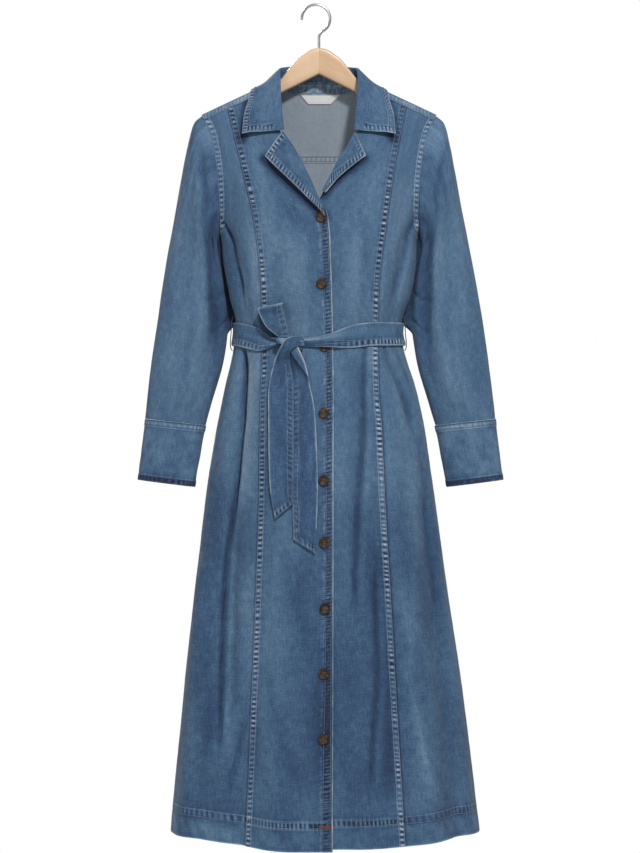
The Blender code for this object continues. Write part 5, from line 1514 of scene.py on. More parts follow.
def make_stand_band(grid, across):
    """The band inside the back of the neck, over the seam where the collar joins the dress."""
    middle = len(grid) // 2
    reach = nearest(across[middle], 0.0205)
    rows = np.nonzero(np.abs(grid[:, 0, 0]) < 0.0665)[0]
    rows = rows[grid[rows, 0, 1] > -0.005]
    rows = rows[: len(rows) - 1 + len(rows) % 2]
    part = grid[rows, : reach + 1]
    first = part[:, :1] + np.array([0, 0, -0.0032])
    t = np.linspace(0, 1, 6)[:-1][None, :, None]
    part = np.concatenate([first * (1 - t) + part[:, :1] * t, part], axis=1)
    if part.shape[1] % 2 == 0:
        part = part[:, :-1]
    normal = normals_of(part)
    if np.mean(normal[len(rows) // 2, :, 1]) > 0:
        normal = -normal
    away, up = lengths_along(part, 0), lengths_along(part, 1)
    pleats = 0.7 * np.cos(2 * pi * (away / 0.0052 + 0.8 * noise(away / 0.02, 0, 202)))
    pleats = pleats + noise(away / 0.0026, up / 0.007, 201)
    fine = noise(away / 0.0016, up / 0.0022, 203)
    edge = bell(up - 0.0004, 0.0009)
    folds = bell(up - 0.0165, 0.0008) + bell(up - 0.0200, 0.0008)
    fade = 0.55 + 0.40 * pleats + 0.40 * fine + 1.0 * folds - 0.8 * edge - 0.5 * bell(up - 0.0182, 0.0007)
    outer = part + normal * (DOUBLE_WALL / 2 + 0.0014 + 0.0003 * pleats)[..., None]
    inner = part + normal * (DOUBLE_WALL / 2 + 0.0004)
    Piece("neck_stand_band", outer, inner, fade, sides=(0.0, 0.0), flip=True).wear([], ["dress_collar"])


def make_lapels():
    for side, seed in (("right", 111), ("left", 115)):
        x, z, _ = ruled(LAPELS[side], 121, 41)
        t = np.linspace(0, 1, 41)
        roll = LAPEL_ROLL + LAPEL_TOP_ROLL * ease((z[:, :1] + 0.262) / 0.05)
        grid = front(x, z, LAPEL_EDGE + (roll - LAPEL_EDGE) * (1 - t) ** 2 + 0.002 * np.sin(pi * t))
        across, along = lengths_along(grid, 1), lengths_along(grid, 0)
        from_edge = across[:, -1:] - across
        rise, tone = topstitched(from_edge, along, seed, pitch=0.0064)
        top_rise, top_tone = topstitched(along, across, seed + 2, pitch=0.0064)
        outer_edge = from_edge < along
        free = np.minimum(across / 0.004, 1)
        height = np.where(outer_edge, rise, top_rise) * free + 0.0005 * noise(along / 0.03, across / 0.02, seed)
        fade = np.where(outer_edge, tone, top_tone) * free + 0.22 * noise(along / 0.02, across / 0.02, seed + 1) - 0.12
        lift = EDGE_LIFT * ease(across / 0.012) * ease(along / 0.02)
        round_edges = from_edge, along
        piece = thick(f"dress_lapel_{side}", grid, DOUBLE_WALL, height, fade, round_edges, faces_back(grid), lift)
        piece.wear([f"lapel_{side}"], [f"dress_center_{side}"])
        for distance in EDGE_ROWS:
            k = np.argmin(np.abs(from_edge - distance), axis=1)
            good = np.nonzero((across[:, -1] > 2.2 * distance) & (along[:, -1] > distance))[0]
            sew("stitches_lapels", *piece.at(good, k[good]))
            row = nearest(along[:, 20], distance)
            sew("stitches_lapels", *piece.at(row, slice(2, k[row] + 1)))


# ---------------------------------------------------------------- belt
BELT_TONE = -0.18
BELT_LENGTH = 0.66  # round the waist, for the belt's own wear and puckers
RIBBON_TONE = -0.46
REAR_FOLD = ((-0.0472, -0.5794), (-0.0240, -0.6120))  # the rear tail's border is turned over, right of this line
KNOT_SWELL = (1.13, 0.98, 0.98)  # the knot's size as a share of its solid's
KNOT_LEAN = 24  # degrees from level of the band that is wrapped round it
KNOT_SPIN = 14  # degrees that the whole knot is turned


def make_belt_band():
    start, end = (float(angle_at(x, BELT_Z)) for x in BELT_ENDS)
    turn = np.linspace(0, 1, 421)
    angle = start + turn * (end - 2 * pi - start)
    shorter = np.minimum(turn, 1 - turn) * BELT_LENGTH
    taper = np.where(turn > 0.5, LEFT_TAPER, BELT_TAPER)
    half = BELT_END_HALF + (BELT_HALF - BELT_END_HALF) * ease(shorter / taper)
    middle = BELT_Z + (KNOT[1] + 0.002 - BELT_Z) * bell(shorter, 0.048)
    across = np.linspace(-1, 1, 33)[:, None]
    z = middle + half * across
    u = np.broadcast_to(angle, z.shape)
    hidden = BUTTONS[HIDDEN_BUTTON]
    plain = body(u, z)
    away = np.hypot(plain[..., 0] - hidden.x, 0.8 * (z - hidden.z))
    over_button = (BUTTON_HEIGHT + 0.0008) * np.exp(-((away / 0.020) ** 4)) * (plain[..., 1] < 0)
    along = turn * BELT_LENGTH + 0 * z
    from_low, from_high = (across + 1) * half, (1 - across) * half
    wide = ease(shorter / 0.05)
    rise, tone = topstitched(from_low, along, 121)
    pull = noise(across * 2.2 + 0 * along, along / 0.05, 122) * np.exp(-shorter / 0.045)
    soft = noise(along / 0.05, across / 0.8, 123)
    height = rise * wide + 0.0016 * pull + 0.0007 * soft
    fade = tone * wide + 1.1 * edge_worn(from_high, 124, along, 0.0019) + 0.9 * pull + 0.22 * soft
    edge = np.minimum(from_low, from_high)
    half_wall = BELT_WALL / 2 * (0.4 + 0.6 * np.sqrt(1 - (1 - np.clip(edge / 0.002, 0, 1)) ** 2))
    outer = moved_out(body, u, z, BELT_CLEAR + half_wall + over_button + np.clip(height, -0.001, 0.0016))
    inner = moved_out(body, u, z, BELT_CLEAR - half_wall + over_button)
    piece = Piece("dress_belt", outer, inner, fade + BELT_TONE, sides=(0.0, 0.0))
    piece.wear(["belt_band"], ["dress_center_right", "dress_center_left", "dress_back"])
    for distance in EDGE_ROWS:
        sew("stitches_belt", *piece.row_line(nearest(from_low[:, 200], distance)), first=0.03, last=0.97)


def ribbon(name, node, strips, rows, columns, stitched, ended, seed, waves=0.0, plain=0.0):
    """A flat band of the belt laid over the front, stitched along one side, and across its end."""
    x, z, proud = ruled(strips, rows, columns)
    grid = front(x, z, proud + 0 * x)
    across, along = lengths_along(grid, 1), lengths_along(grid, 0)
    from_right = across[:, -1:] - across
    sewn_side, plain_side = (from_right, across) if stitched == "right" else (across, from_right)
    rise, tone = topstitched(sewn_side, along, seed, strength=0.7)
    clear = ease((along - plain) / 0.02) if plain else 1
    wrinkle = noise(across / 0.006 - along / 0.02, along / 0.03, seed + 9) * (1 - clear)
    height, fade = rise * clear + 0.0007 * wrinkle, 0.5 * tone * clear + 0.4 * wrinkle
    fade = fade + 1.15 * edge_worn(plain_side, seed + 2, along, 0.0018)
    from_end = along[-1:] - along
    if ended:
        end_rise, end_tone = topstitched(from_end, across, seed + 4)
        corner = from_end < sewn_side
        height, fade = np.where(corner, end_rise, height), np.where(corner, 0.8 * end_tone, fade)
        fade = fade + 0.5 * edge_worn(plain_side, seed + 5, along)
    height = height + 0.0006 * noise(across / 0.012, along / 0.05, seed + 6)
    height = height - waves * bell(across / across[:, -1:].max() - 0.55, 0.16) * np.exp(-along / 0.05)
    fade = fade + 0.20 * noise(across / 0.010, along / 0.04, seed + 7)
    if not ended:
        # the loop: a painted highlight along its top fold, and painted shade on the part that hangs down behind it
        top = np.argmax(grid[:, columns // 2, 2])
        past = along - along[top]
        fade = fade + 1.4 * bell(past + 0.0035, 0.0036) - 0.35 * bell(past + 0.013, 0.0070) + 0.18
        fade = fade - 0.8 * ease(past / 0.004)
    if node == "belt_tail_rear":
        (x0, z0), (x1, z1) = REAR_FOLD
        beyond = ((x - x0) * (z0 - z1) + (z - z0) * (x1 - x0)) / np.hypot(x1 - x0, z1 - z0)
        high = ease((z + 0.640) / 0.030)
        height = height + 0.0012 * ease(beyond / 0.0008) * high
        shade = 0.75 * bell(np.minimum(beyond, 0), 0.0060) * (beyond < 0)
        fade = fade + (0.62 * ease(beyond / 0.0010) - shade) * high
    edges = (across, from_right, from_end) if ended else (across, from_right)
    height = np.clip(height, -0.002, 0.0012)
    piece = thick(name, grid, BELT_WALL * 0.8, height, fade + RIBBON_TONE, edges, faces_back(grid))
    piece.wear([node], ["dress_center_right", "dress_center_left"])
    for distance in EDGE_ROWS:
        k = np.argmin(np.abs(sewn_side - distance), axis=1)
        good = (across[:, -1] > 0.016) & (np.min(from_end, axis=1) > (distance if ended else 0.001))
        good = np.nonzero(good & (along[:, columns // 2] > plain))[0]
        sew("stitches_bow", *piece.at(good, k[good]))
        if ended:
            k = np.argmin(np.abs(from_end - distance), axis=0)
            good = np.nonzero(sewn_side[k, np.arange(columns)] > distance)[0]
            sew("stitches_bow", *piece.at(k[good], good))


def make_knot():
    """A soft wrapped knot: a band drawn tight over the crossing, with its creases."""
    turn, tilt = np.meshgrid(np.linspace(0, 2 * pi, 145)[:-1], np.linspace(0, pi, 97))
    p = np.stack([np.sin(tilt) * np.cos(turn), -np.cos(tilt), np.sin(tilt) * np.sin(turn)], axis=-1)
    p = np.sign(p) * np.abs(p) ** 0.8
    lean = radians(KNOT_LEAN)
    a = p[..., 0] * cos(lean) + p[..., 2] * sin(lean)
    b = -p[..., 0] * sin(lean) + p[..., 2] * cos(lean)
    facing = ease(-p[..., 1] / 0.5)
    wrap = np.exp(-(((b - 0.12 + 0.18 * a) / 0.42) ** 4))
    lower = np.exp(-(((b + 0.62 + 0.10 * a) / 0.20) ** 4))
    groove = bell(b - 0.60 + 0.22 * a, 0.06) + bell(b + 0.36 + 0.2 * a, 0.07) + 0.8 * bell(b + 0.88, 0.05)
    fine = noise(b * 5 + 0.8 * a, a * 1.2, 131)
    swell = 1 + facing * (0.16 * wrap + 0.10 * lower - 0.20 * groove + 0.035 * fine)
    size = np.array(KNOT_HALF) * np.array(KNOT_SWELL)
    points = p * size * swell[..., None]
    spin = np.array(Matrix.Rotation(radians(KNOT_SPIN), 3, "Y"))
    points = points @ spin.T + front(KNOT[0], KNOT[1], KNOT_HALF[1] + 0.0012)
    # painted highlight along the wrap's upper edge and over the wrap, painted shade in the grooves, over the lower
    # part and at the end towards -X
    fade = 0.75 * bell(b - 0.50 + 0.2 * a, 0.08) + 0.45 * wrap - 0.9 * groove + 0.5 * fine
    fade = facing * (fade - 0.7 * bell(b + 0.75, 0.35) - 1.1 * ease((-0.55 - a) / 0.3))
    bm = bmesh.new()
    rings = [[bm.verts.new(q) for q in ring] for ring in points[1:-1]]
    poles = [bm.verts.new(points[0].mean(0)), bm.verts.new(points[-1].mean(0))]
    skin(bm, rings, ends=False)
    for pole, ring in zip(poles, (rings[0], rings[-1])):
        for i in range(len(ring)):
            bm.faces.new((pole, ring[i], ring[(i + 1) % len(ring)]))
    mesh = mesh_of("dress_knot", bm)
    cloth = np.stack([a * 0.02, b * 0.013, 0 * a], axis=-1)[1:-1].reshape(-1, 3)
    point_values(mesh, "fade", np.concatenate([fade[1:-1].ravel(), [0, 0]]))
    point_values(mesh, "inside", np.zeros(len(mesh.vertices)))
    point_values(mesh, "cloth", np.concatenate([cloth, np.zeros((2, 3))]))
    mesh.transform(Matrix.Translation((CENTRE_X, 0, 0)))
    knot = in_scene("dress_knot", mesh, "denim")
    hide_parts("belt_knot")
    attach(knot, "root")


def make_belt():
    make_belt_band()
    ribbon("dress_tail_rear", "belt_tail_rear", TAILS["rear"], 175, 33, "left", True, 141, 0.0014, 0.060)
    ribbon("dress_tail_front", "belt_tail_front", TAILS["front"], 181, 33, "right", True, 151, 0.0012, 0.062)
    ribbon("dress_loop", "belt_loop", LOOP, 97, 27, "right", False, 161)
    make_knot()


# ---------------------------------------------------------------- hard pieces
HOLE_PLACE = 0.0017  # a button's four holes lie this far from its middle, both ways
STRAND = 0.00042  # a carrier's three strands turn round each other at this distance
STRAND_RADIUS = 0.00048
HANGER_TIP = 0.006  # the arms' ends are rounded over this length
HANGER_POWERS = (0.45, 0.32)  # how square its section is, across and up
KEEL_SLOPE = 0.50  # of the hanger's lower side, under the neck
KEEL_DEEP = 0.058  # its greatest height there
NECK_END_X = 0.064  # where that part ends
HANGER_THIN_X = 0.17  # from here out the arms get thinner


def skin(bm, rings, ends=True):
    """Faces from each ring of points to the next, and over the first and the last one."""
    for one, two in zip(rings, rings[1:]):
        for i in range(len(one)):
            k = (i + 1) % len(one)
            bm.faces.new((one[i], one[k], two[k], two[i]))
    if ends:
        bm.faces.new(rings[0])
        bm.faces.new(rings[-1])


def mesh_of(name, bm):
    """The mesh that was built up, with its faces turned outwards."""
    bmesh.ops.recalc_face_normals(bm, faces=bm.faces)
    mesh = bpy.data.meshes.new(name)
    bm.to_mesh(mesh)
    bm.free()
    return mesh


def mesh_object(name, bm, material, nodes, smooth_angle=40):
    mesh = mesh_of(name, bm)
    made = in_scene(name, mesh, material)
    mesh.set_sharp_from_angle(angle=radians(smooth_angle))
    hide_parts(*nodes)
    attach(made, "root")


def lathe(bm, profile, segments, placed):
    """Turns a profile of (radius, height) round; its two ends are closed."""
    turns = np.linspace(0, 2 * pi, segments + 1)[:-1]
    skin(bm, [[bm.verts.new(placed @ Vector((r * cos(a), r * sin(a), h))) for a in turns] for r, h in profile])


def make_buttons():
    """Turned discs with a raised rim and a dish, sewn on through four holes."""
    bm, sewing = bmesh.new(), bmesh.new()
    r, h = BUTTON_RADIUS, BUTTON_HEIGHT
    profile = [(0.80 * r, 0.0), (0.94 * r, 0.10 * h), (r, 0.45 * h), (0.985 * r, 0.80 * h), (0.93 * r, 0.98 * h)]
    profile += [(0.86 * r, h), (0.78 * r, 0.92 * h), (0.68 * r, 0.68 * h), (0.50 * r, 0.55 * h), (0.20 * r, 0.52 * h)]
    for number, place in enumerate(BUTTONS):
        base = Vector(front(place.x, place.z, 2 * GAP)) + Vector((CENTRE_X, 0, 0))
        outward = (Vector(front(place.x, place.z, 0.01)) + Vector((CENTRE_X, 0, 0)) - base).normalized()
        placed = Matrix.Translation(base) @ outward.to_track_quat("Z", "Y").to_matrix().to_4x4()
        placed = placed @ Matrix.Rotation(0.5 * float(noise(number * 3.3, 0, 171)), 4, "Z")
        lathe(bm, profile, 48, placed)
        for x, y in ((-1, -1), (-1, 1), (1, -1), (1, 1)):
            hole = placed @ Matrix.Translation((HOLE_PLACE * x, HOLE_PLACE * y, 0))
            lathe(sewing, [(0.0009, 0.50 * h), (0.0009, 0.56 * h), (0.0006, 0.60 * h)], 12, hole)
        for y in (-1, 1):
            bar = placed @ Matrix.Translation((0, HOLE_PLACE * y, 0.66 * h)) @ Matrix.Rotation(pi / 2, 4, "Y")
            lathe(sewing, [(0.0004, -0.0020), (0.0007, -0.0012), (0.0007, 0.0012), (0.0004, 0.0020)], 8, bar)
    mesh_object("dress_buttons", bm, "horn", [f"button_{n + 1}" for n in range(len(BUTTONS))])
    mesh_object("button_threads", sewing, "dark_thread", [])


def swept(bm, path, radius, sides, round_tip=False):
    """A round wire along a path; a round tip closes its start as a dome."""
    path = [Vector(p) for p in path]
    rings, up = [], Vector((0, 1, 0))
    sizes = [1.0] * len(path)
    if round_tip:
        ahead = (path[0] - path[1]).normalized()
        dome = [(sin(t), cos(t)) for t in np.linspace(0, pi / 2, 7)[1:]]
        path = [path[0] + ahead * radius * c for s, c in dome[:-1]] + path
        sizes = [s for s, c in dome[:-1]] + sizes
    for k, p in enumerate(path):
        ahead = (path[min(k + 1, len(path) - 1)] - path[max(k - 1, 0)]).normalized()
        side = ahead.cross(up).normalized()
        other = side.cross(ahead)
        turn = [2 * pi * i / sides for i in range(sides)]
        rings.append([bm.verts.new(p + sizes[k] * radius * (cos(a) * side + sin(a) * other)) for a in turn])
    skin(bm, rings)


def make_carriers():
    for name, angle in (("right", -pi / 2), ("left", pi / 2)):
        path = through([moved_out(body, np.array(angle), np.array(a.z), a.proud) for a in CARRIER], 49)
        path = path + np.array([CENTRE_X, 0, 0])
        bm = bmesh.new()
        for strand in (0, 1, 2):
            phase = np.linspace(0, 14 * pi, len(path)) + strand * 2 * pi / 3
            twist = STRAND * np.stack([np.cos(phase), np.sin(phase), 0 * phase], axis=-1)
            swept(bm, path + twist, STRAND_RADIUS, 8)
        mesh_object(f"dress_carrier_{name}", bm, "dark_thread", [f"belt_carrier_{name}"])


def make_label():
    x, z, _ = ruled(LABEL, 25, 61)
    angle = pi - angle_at(x, z)
    edge = lengths_along(np.stack([x, z, 0 * x], -1), 1)
    edge = np.minimum(edge, edge[:, ::-1])
    lines = np.minimum(z - z[-1:], z[:1] - z)
    rim = bell(np.minimum(edge, lines) - 0.0012, 0.0006)
    near, far = -WALL - 0.0005, -WALL - 0.0005 - LABEL_WALL
    walls = moved_out(body, angle, z, far + 0.00025 * rim), moved_out(body, angle, z, near + 0 * x)
    Piece("dress_label", *walls, 0.6 - rim, material="label").wear(["neck_label"], ["dress_yoke"], "label")


def make_hanger():
    half = np.concatenate([[0, 0.0003, 0.0008, 0.002], np.linspace(0.004, HANGER_END_X - HANGER_TIP, 70)])
    ends = HANGER_END_X - HANGER_TIP * (1 - np.sin(np.linspace(0, pi / 2, 8)))[1:]
    half = np.concatenate([half, ends])
    tops = through([[d.x, d.z] for d in DOME], 60)
    turns = np.linspace(0, 2 * pi, 49)[:-1]
    across = np.sign(np.cos(turns)) * np.abs(np.cos(turns)) ** HANGER_POWERS[0]
    up = np.sign(np.sin(turns)) * np.abs(np.sin(turns)) ** HANGER_POWERS[1]
    bm = bmesh.new()
    rings = []
    for x in np.concatenate([-half[:0:-1], half]):
        away = abs(x)
        outer_top = float(ridge(x)) - HANGER_DROP
        top = outer_top if away > DOME[-1].x else float(np.interp(away, tops[:, 0], tops[:, 1]))
        keel = max(HANGER_APEX_Z + 0.0012 - KEEL_SLOPE * away, top - KEEL_DEEP)
        bottom = keel if away < NECK_END_X else top - HANGER_ARM
        bottom += 0.35 * max(away - HANGER_THIN_X, 0)
        r = HANGER_HALF_THICK - 0.00045 * float(bell(away, 0.0007))
        shrink = np.sqrt(max(1 - max(0.0, (away - HANGER_END_X + HANGER_TIP) / HANGER_TIP) ** 2, 0.02))
        middle, high = (top + bottom) / 2, (top - bottom) / 2
        loop = zip(r * shrink * across, middle + high * shrink * up)
        rings.append([bm.verts.new((x + CENTRE_X, y, z)) for y, z in loop])
    skin(bm, rings)
    mesh_object("hanger_wood_body", bm, "wood", ["hanger_body"], 60)


def make_hook():
    centre_z = WIRE_RADIUS - HOOK_RADIUS
    big = [radians(a) for a in np.linspace(180, HOOK_LAST_ANGLE, 61)]
    path = [(-CENTRE_X + HOOK_RADIUS * cos(a), 0, centre_z + HOOK_RADIUS * sin(a)) for a in big]
    end_x, _, end_z = path[-1]
    total = radians(-HOOK_LAST_ANGLE)
    bend = (end_x - STEM_X) / (1 - cos(total))
    for a in np.linspace(total, 0, 25)[1:]:
        path.append((STEM_X + bend * (1 - cos(a)), 0, end_z - bend * (sin(total) - sin(a))))
    stem_end = hanger_top(0.0) + GAP
    path.append((STEM_X, 0, (path[-1][2] + stem_end) / 2))
    path.append((STEM_X, 0, stem_end))
    bm = bmesh.new()
    swept(bm, [(x + CENTRE_X, y, z) for x, y, z in path], WIRE_RADIUS, 24, round_tip=True)
    mesh_object("hanger_hook_wire", bm, "steel", ["hanger_hook"], 60)


# ---------------------------------------------------------------- materials
FLOOR_Z = -1.95
FLOOR_RADIUS = 2.4
TWILL = (1150, 800)  # ridges to the metre, across the cloth and along it
TWILL_TURN = 6.2832  # one ridge, as the sine's angle
THREAD_COLOURS = (  # name, dark and light
    ("thread", (0.120, 0.125, 0.140), (0.43, 0.42, 0.43)),
    ("brown_thread", (0.090, 0.066, 0.052), (0.42, 0.34, 0.285)),
    ("tan_thread", (0.045, 0.030, 0.018), (0.22, 0.155, 0.100)),
    ("blue_thread", (0.018, 0.030, 0.055), (0.13, 0.17, 0.23)),
    ("rust_thread", (0.070, 0.022, 0.012), (0.34, 0.15, 0.075)),
    ("dark_thread", (0.020, 0.022, 0.030), (0.10, 0.085, 0.08)),
)
DENIM_STOPS = [
    (0.00, (0.010, 0.021, 0.050)),
    (0.28, (0.027, 0.062, 0.130)),
    (0.50, (0.063, 0.127, 0.214)),
    (0.70, (0.130, 0.205, 0.298)),
    (0.84, (0.225, 0.278, 0.345)),
    (1.00, (0.370, 0.395, 0.430)),
]
INSIDE_STOPS = [(0.0, (0.095, 0.125, 0.165)), (0.5, (0.275, 0.325, 0.380)), (1.0, (0.46, 0.50, 0.54))]
MATERIALS = {}


class Nodes:
    """Short calls for a material's nodes."""

    def __init__(self, name, roughness, **fixed):
        self.material = bpy.data.materials.new(name)
        self.material.use_nodes = True
        self.tree = self.material.node_tree
        self.shader = self.tree.nodes["Principled BSDF"]
        self.shader.inputs["Roughness"].default_value = roughness
        for key, value in fixed.items():
            self.shader.inputs[key.replace("_", " ")].default_value = value
        MATERIALS[name] = self.material

    def link(self, source, target):
        self.tree.links.new(source, target)

    def add(self, kind, **settings):
        node = self.tree.nodes.new("ShaderNode" + kind)
        for key, value in settings.items():
            setattr(node, key, value)
        return node

    def attribute(self, name, output="Fac"):
        return self.add("Attribute", attribute_name=name).outputs[output]

    def place(self):
        return self.add("TexCoord").outputs["Object"]

    def scaled(self, source, scale):
        node = self.add("Mapping")
        node.inputs["Scale"].default_value = scale
        self.link(source, node.inputs["Vector"])
        return node.outputs["Vector"]

    def noise(self, source, scale, detail=2.0, roughness=0.5):
        """Noise of one scale, or of one along each axis."""
        if isinstance(scale, tuple):
            source, scale = self.scaled(source, scale), 1.0
        node = self.add("TexNoise")
        node.inputs["Scale"].default_value = scale
        node.inputs["Detail"].default_value = detail
        node.inputs["Roughness"].default_value = roughness
        self.link(source, node.inputs["Vector"])
        return node.outputs["Fac"]

    def math(self, kind, *values):
        node = self.add("Math", operation=kind)
        for socket, value in zip(node.inputs, values):
            if isinstance(value, (int, float)):
                socket.default_value = value
            else:
                self.link(value, socket)
        return node.outputs[0]

    def split(self, source):
        node = self.add("SeparateXYZ")
        self.link(source, node.inputs[0])
        return node.outputs

    def joined(self, *parts):
        node = self.add("CombineXYZ")
        for socket, value in zip(node.inputs, parts):
            self.link(value, socket)
        return node.outputs[0]

    def sum(self, *terms):
        """The sum of (socket, weight, centre) terms: each socket's distance from its centre, times its weight."""
        total = None
        for socket, weight, centre in terms:
            part = self.math("MULTIPLY", self.math("SUBTRACT", socket, centre), weight)
            total = part if total is None else self.math("ADD", total, part)
        return total

    def tone(self, *terms):
        """Such a sum about the middle of a ramp."""
        return self.math("ADD", self.sum(*terms), 0.5)

    def ramp(self, factor, stops):
        node = self.add("ValToRGB")
        ramp = node.color_ramp
        while len(ramp.elements) < len(stops):
            ramp.elements.new(0.5)
        for element, (at, colour) in zip(ramp.elements, stops):
            element.position = at
            element.color = (*colour, 1)
        self.link(factor, node.inputs["Fac"])
        return node.outputs["Color"]

    def mix(self, factor, a, b):
        node = self.add("Mix", data_type="RGBA")
        for socket, value in ((node.inputs["Factor"], factor), (node.inputs[6], a), (node.inputs[7], b)):
            self.link(value, socket)
        return node.outputs[2]

    def bump(self, height, distance, strength):
        node = self.add("Bump")
        node.inputs["Strength"].default_value = strength
        node.inputs["Distance"].default_value = distance
        self.link(height, node.inputs["Height"])
        return node.outputs["Normal"]

    def finish(self, colour, normal=None):
        self.link(colour, self.shader.inputs["Base Color"])
        if normal is not None:
            self.link(normal, self.shader.inputs["Normal"])


def make_denim():
    n = Nodes("denim", 0.86, Sheen_Weight=0.08, Sheen_Roughness=0.5, Specular_IOR_Level=0.25)
    cloth = n.attribute("cloth", "Vector")
    streak = n.noise(cloth, (420, 60, 1), 2.0, 0.6)
    weft = n.noise(cloth, (60, 520, 1), 1.0)
    mottle = n.noise(cloth, (110, 80, 1), 4.0, 0.7)
    wash = n.noise(cloth, (30, 5, 1), 2.0)
    grain = n.noise(cloth, 520.0, 3.0, 0.8)
    parts = n.split(cloth)
    slant = n.math("ADD", n.math("MULTIPLY", parts[0], TWILL[0]), n.math("MULTIPLY", parts[1], TWILL[1]))
    twill = n.math("SINE", n.math("MULTIPLY", slant, TWILL_TURN))
    # fade: wash and wear, with painted light and shade
    tone = n.tone(
        (n.attribute("fade"), 0.36, 0.0), (streak, 0.30, 0.5), (weft, 0.16, 0.5), (mottle, 0.34, 0.5),
        (wash, 0.26, 0.5), (grain, 0.62, 0.5), (twill, 0.02, 0.0),
    )
    outside, inside = n.ramp(tone, DENIM_STOPS), n.ramp(n.tone((tone, 0.7, 0.5)), INSIDE_STOPS)
    height = n.sum((twill, 0.5, 0.0), (grain, 1.6, 0.5), (streak, 1.2, 0.5))
    n.finish(n.mix(n.attribute("inside"), outside, inside), n.bump(height, 0.00022, 0.6))


def make_thread(name, dark, light):
    n = Nodes(name, 0.6)
    fibre = n.noise(n.place(), 1800.0, 2.0)
    tone = n.tone((fibre, 0.6, 0.5), (n.attribute("fade"), 0.25, 0.0))
    n.finish(n.ramp(tone, [(0.1, dark), (0.9, light)]), n.bump(fibre, 0.0001, 0.5))


def make_horn():
    n = Nodes("horn", 0.55, Specular_IOR_Level=0.25)
    place = n.place()
    blotch = n.noise(place, 170.0, 3.0, 0.6)
    fine = n.noise(place, 700.0, 2.0)
    stops = [(0.20, (0.006, 0.006, 0.008)), (0.55, (0.034, 0.019, 0.011)), (0.90, (0.150, 0.062, 0.020))]
    n.finish(n.ramp(n.tone((blotch, 1.8, 0.5), (fine, 0.4, 0.5)), stops), n.bump(fine, 0.0001, 0.2))


def make_wood():
    """Its grain runs down each arm, and the half on +X is a little darker."""
    n = Nodes("wood", 0.42, Coat_Weight=0.12, Coat_Roughness=0.3)
    x, y, z = n.split(n.place())
    across = n.math("SUBTRACT", x, CENTRE_X)
    side = n.math("SIGN", across)
    down = n.math("ADD", z, n.math("MULTIPLY", n.math("ABSOLUTE", across), RIDGE_SLOPE))
    along_arm = n.joined(across, y, n.math("ADD", down, n.math("MULTIPLY", side, 0.37)))
    grain = n.noise(along_arm, (9, 160, 240), 3.0, 0.6)
    pores = n.noise(along_arm, (60, 900, 1300), 1.0)
    broad = n.noise(along_arm, 22.0, 2.0)
    tone = n.tone((grain, 0.55, 0.5), (pores, 0.28, 0.5), (broad, 0.4, 0.5), (side, -0.12, 0.0))
    stops = [(0.0, (0.42, 0.250, 0.130)), (0.5, (0.555, 0.375, 0.232)), (1.0, (0.67, 0.49, 0.335))]
    n.finish(n.ramp(tone, stops), n.bump(grain, 0.0002, 0.25))


def make_steel():
    n = Nodes("steel", 0.22, Metallic=1.0)
    fine = n.noise(n.place(), (400, 400, 60), 2.0)
    n.finish(n.ramp(fine, [(0.3, (0.58, 0.58, 0.57)), (0.7, (0.72, 0.72, 0.71))]), n.bump(fine, 0.00005, 0.2))


def make_label_cloth():
    n = Nodes("label", 0.7)
    weave = n.noise(n.attribute("cloth", "Vector"), (300, 1500, 1), 2.0)
    tone = n.tone((weave, 0.5, 0.5), (n.attribute("fade"), 0.3, 0.3))
    n.finish(n.ramp(tone, [(0.0, (0.42, 0.43, 0.43)), (1.0, (0.86, 0.87, 0.86))]), n.bump(weave, 0.0001, 0.5))


def make_floor():
    n = Nodes("floor", 0.9)
    n.finish(n.ramp(n.noise(n.place(), 3.0, 3.0), [(0.3, (0.80, 0.80, 0.80)), (0.7, (0.84, 0.84, 0.84))]))
    bm = bmesh.new()
    bmesh.ops.create_circle(bm, cap_ends=True, radius=FLOOR_RADIUS, segments=96)
    mesh = bpy.data.meshes.new("floor")
    bm.to_mesh(mesh)
    bm.free()
    mesh.materials.append(MATERIALS["floor"])
    floor = in_scene("floor", mesh)
    floor.location.z = FLOOR_Z


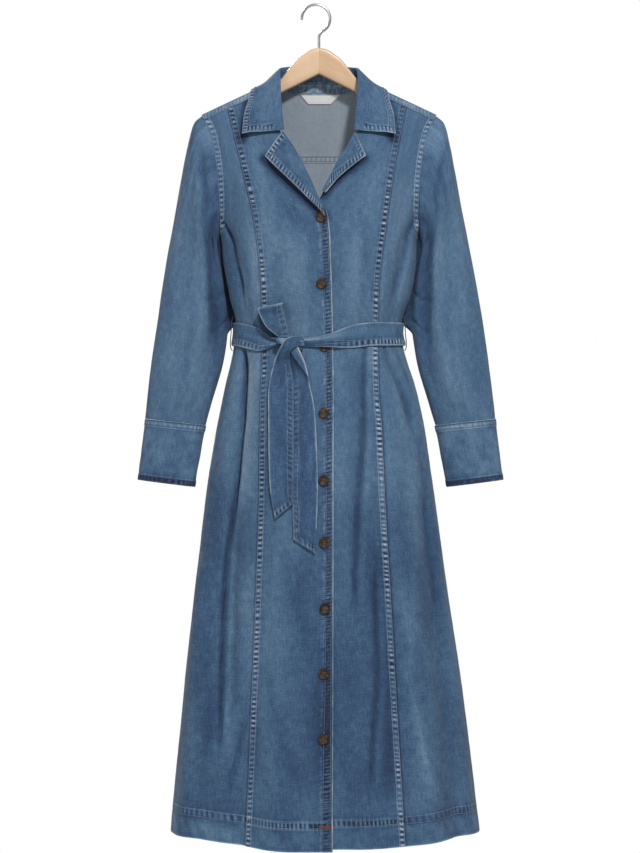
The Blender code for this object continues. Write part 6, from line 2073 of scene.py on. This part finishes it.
# ---------------------------------------------------------------- camera and light
CAMERA_AWAY = 4.0
CAMERA_AT = (0.0067, -0.7008)  # x and z of the picture's middle
SEEN_HEIGHT = 1.4217  # what the picture shows from top to bottom, in the dress's plane
SENSOR_HEIGHT = 24.0
AMBIENT = 0.34  # of the white that the camera sees behind the dress
LIGHTS = (  # name, place, what it points at, size and power
    ("key", (0.95, -3.2, 2.3), (0, 0, -0.7), 0.45, 165),
    ("fill", (-2.2, -3.2, -0.2), (0, 0, -0.8), 2.0, 20),
    ("rear", (-1.3, 3.3, 1.6), (0, 0, -0.7), 0.8, 125),
)


def make_camera():
    data = bpy.data.cameras.new("camera")
    data.sensor_fit = "VERTICAL"
    data.sensor_height = SENSOR_HEIGHT
    data.lens = CAMERA_AWAY * SENSOR_HEIGHT / SEEN_HEIGHT
    camera = in_scene("camera", data)
    camera.location = (CAMERA_AT[0], -CAMERA_AWAY, CAMERA_AT[1])
    camera.rotation_euler = (pi / 2, 0, 0)
    bpy.context.scene.camera = camera


def area_light(name, place, target, size, power):
    data = bpy.data.lights.new(name, "AREA")
    data.shape = "DISK"
    data.size = size
    data.energy = power
    light = in_scene(name, data)
    light.location = place
    light.rotation_euler = (Vector(target) - Vector(place)).to_track_quat("-Z", "Y").to_euler()


def make_light():
    scene = bpy.context.scene
    scene.view_settings.view_transform = "Standard"
    world = bpy.data.worlds.new("studio")
    world.use_nodes = True
    background = world.node_tree.nodes["Background"]
    background.inputs["Color"].default_value = (1, 1, 1, 1)
    seen = world.node_tree.nodes.new("ShaderNodeLightPath").outputs["Is Camera Ray"]
    strength = world.node_tree.nodes.new("ShaderNodeMapRange")
    strength.inputs["To Min"].default_value = AMBIENT
    world.node_tree.links.new(seen, strength.inputs["Value"])
    world.node_tree.links.new(strength.outputs["Result"], background.inputs["Strength"])
    scene.world = world
    for light in LIGHTS:
        area_light(*light)


def main():
    make_camera()
    make_light()
    make_denim()
    for thread in THREAD_COLOURS:
        make_thread(*thread)
    make_horn()
    make_wood()
    make_steel()
    make_label_cloth()
    make_floor()
    make_yoke()
    make_seam_inside()
    make_center_fronts()
    make_side_fronts()
    make_back_panel()
    make_side_bands()
    make_sleeves()
    make_collar()
    make_lapels()
    make_belt()
    make_buttons()
    make_carriers()
    make_label()
    make_hanger()
    make_hook()
    make_bars()
    make_threads()


main()
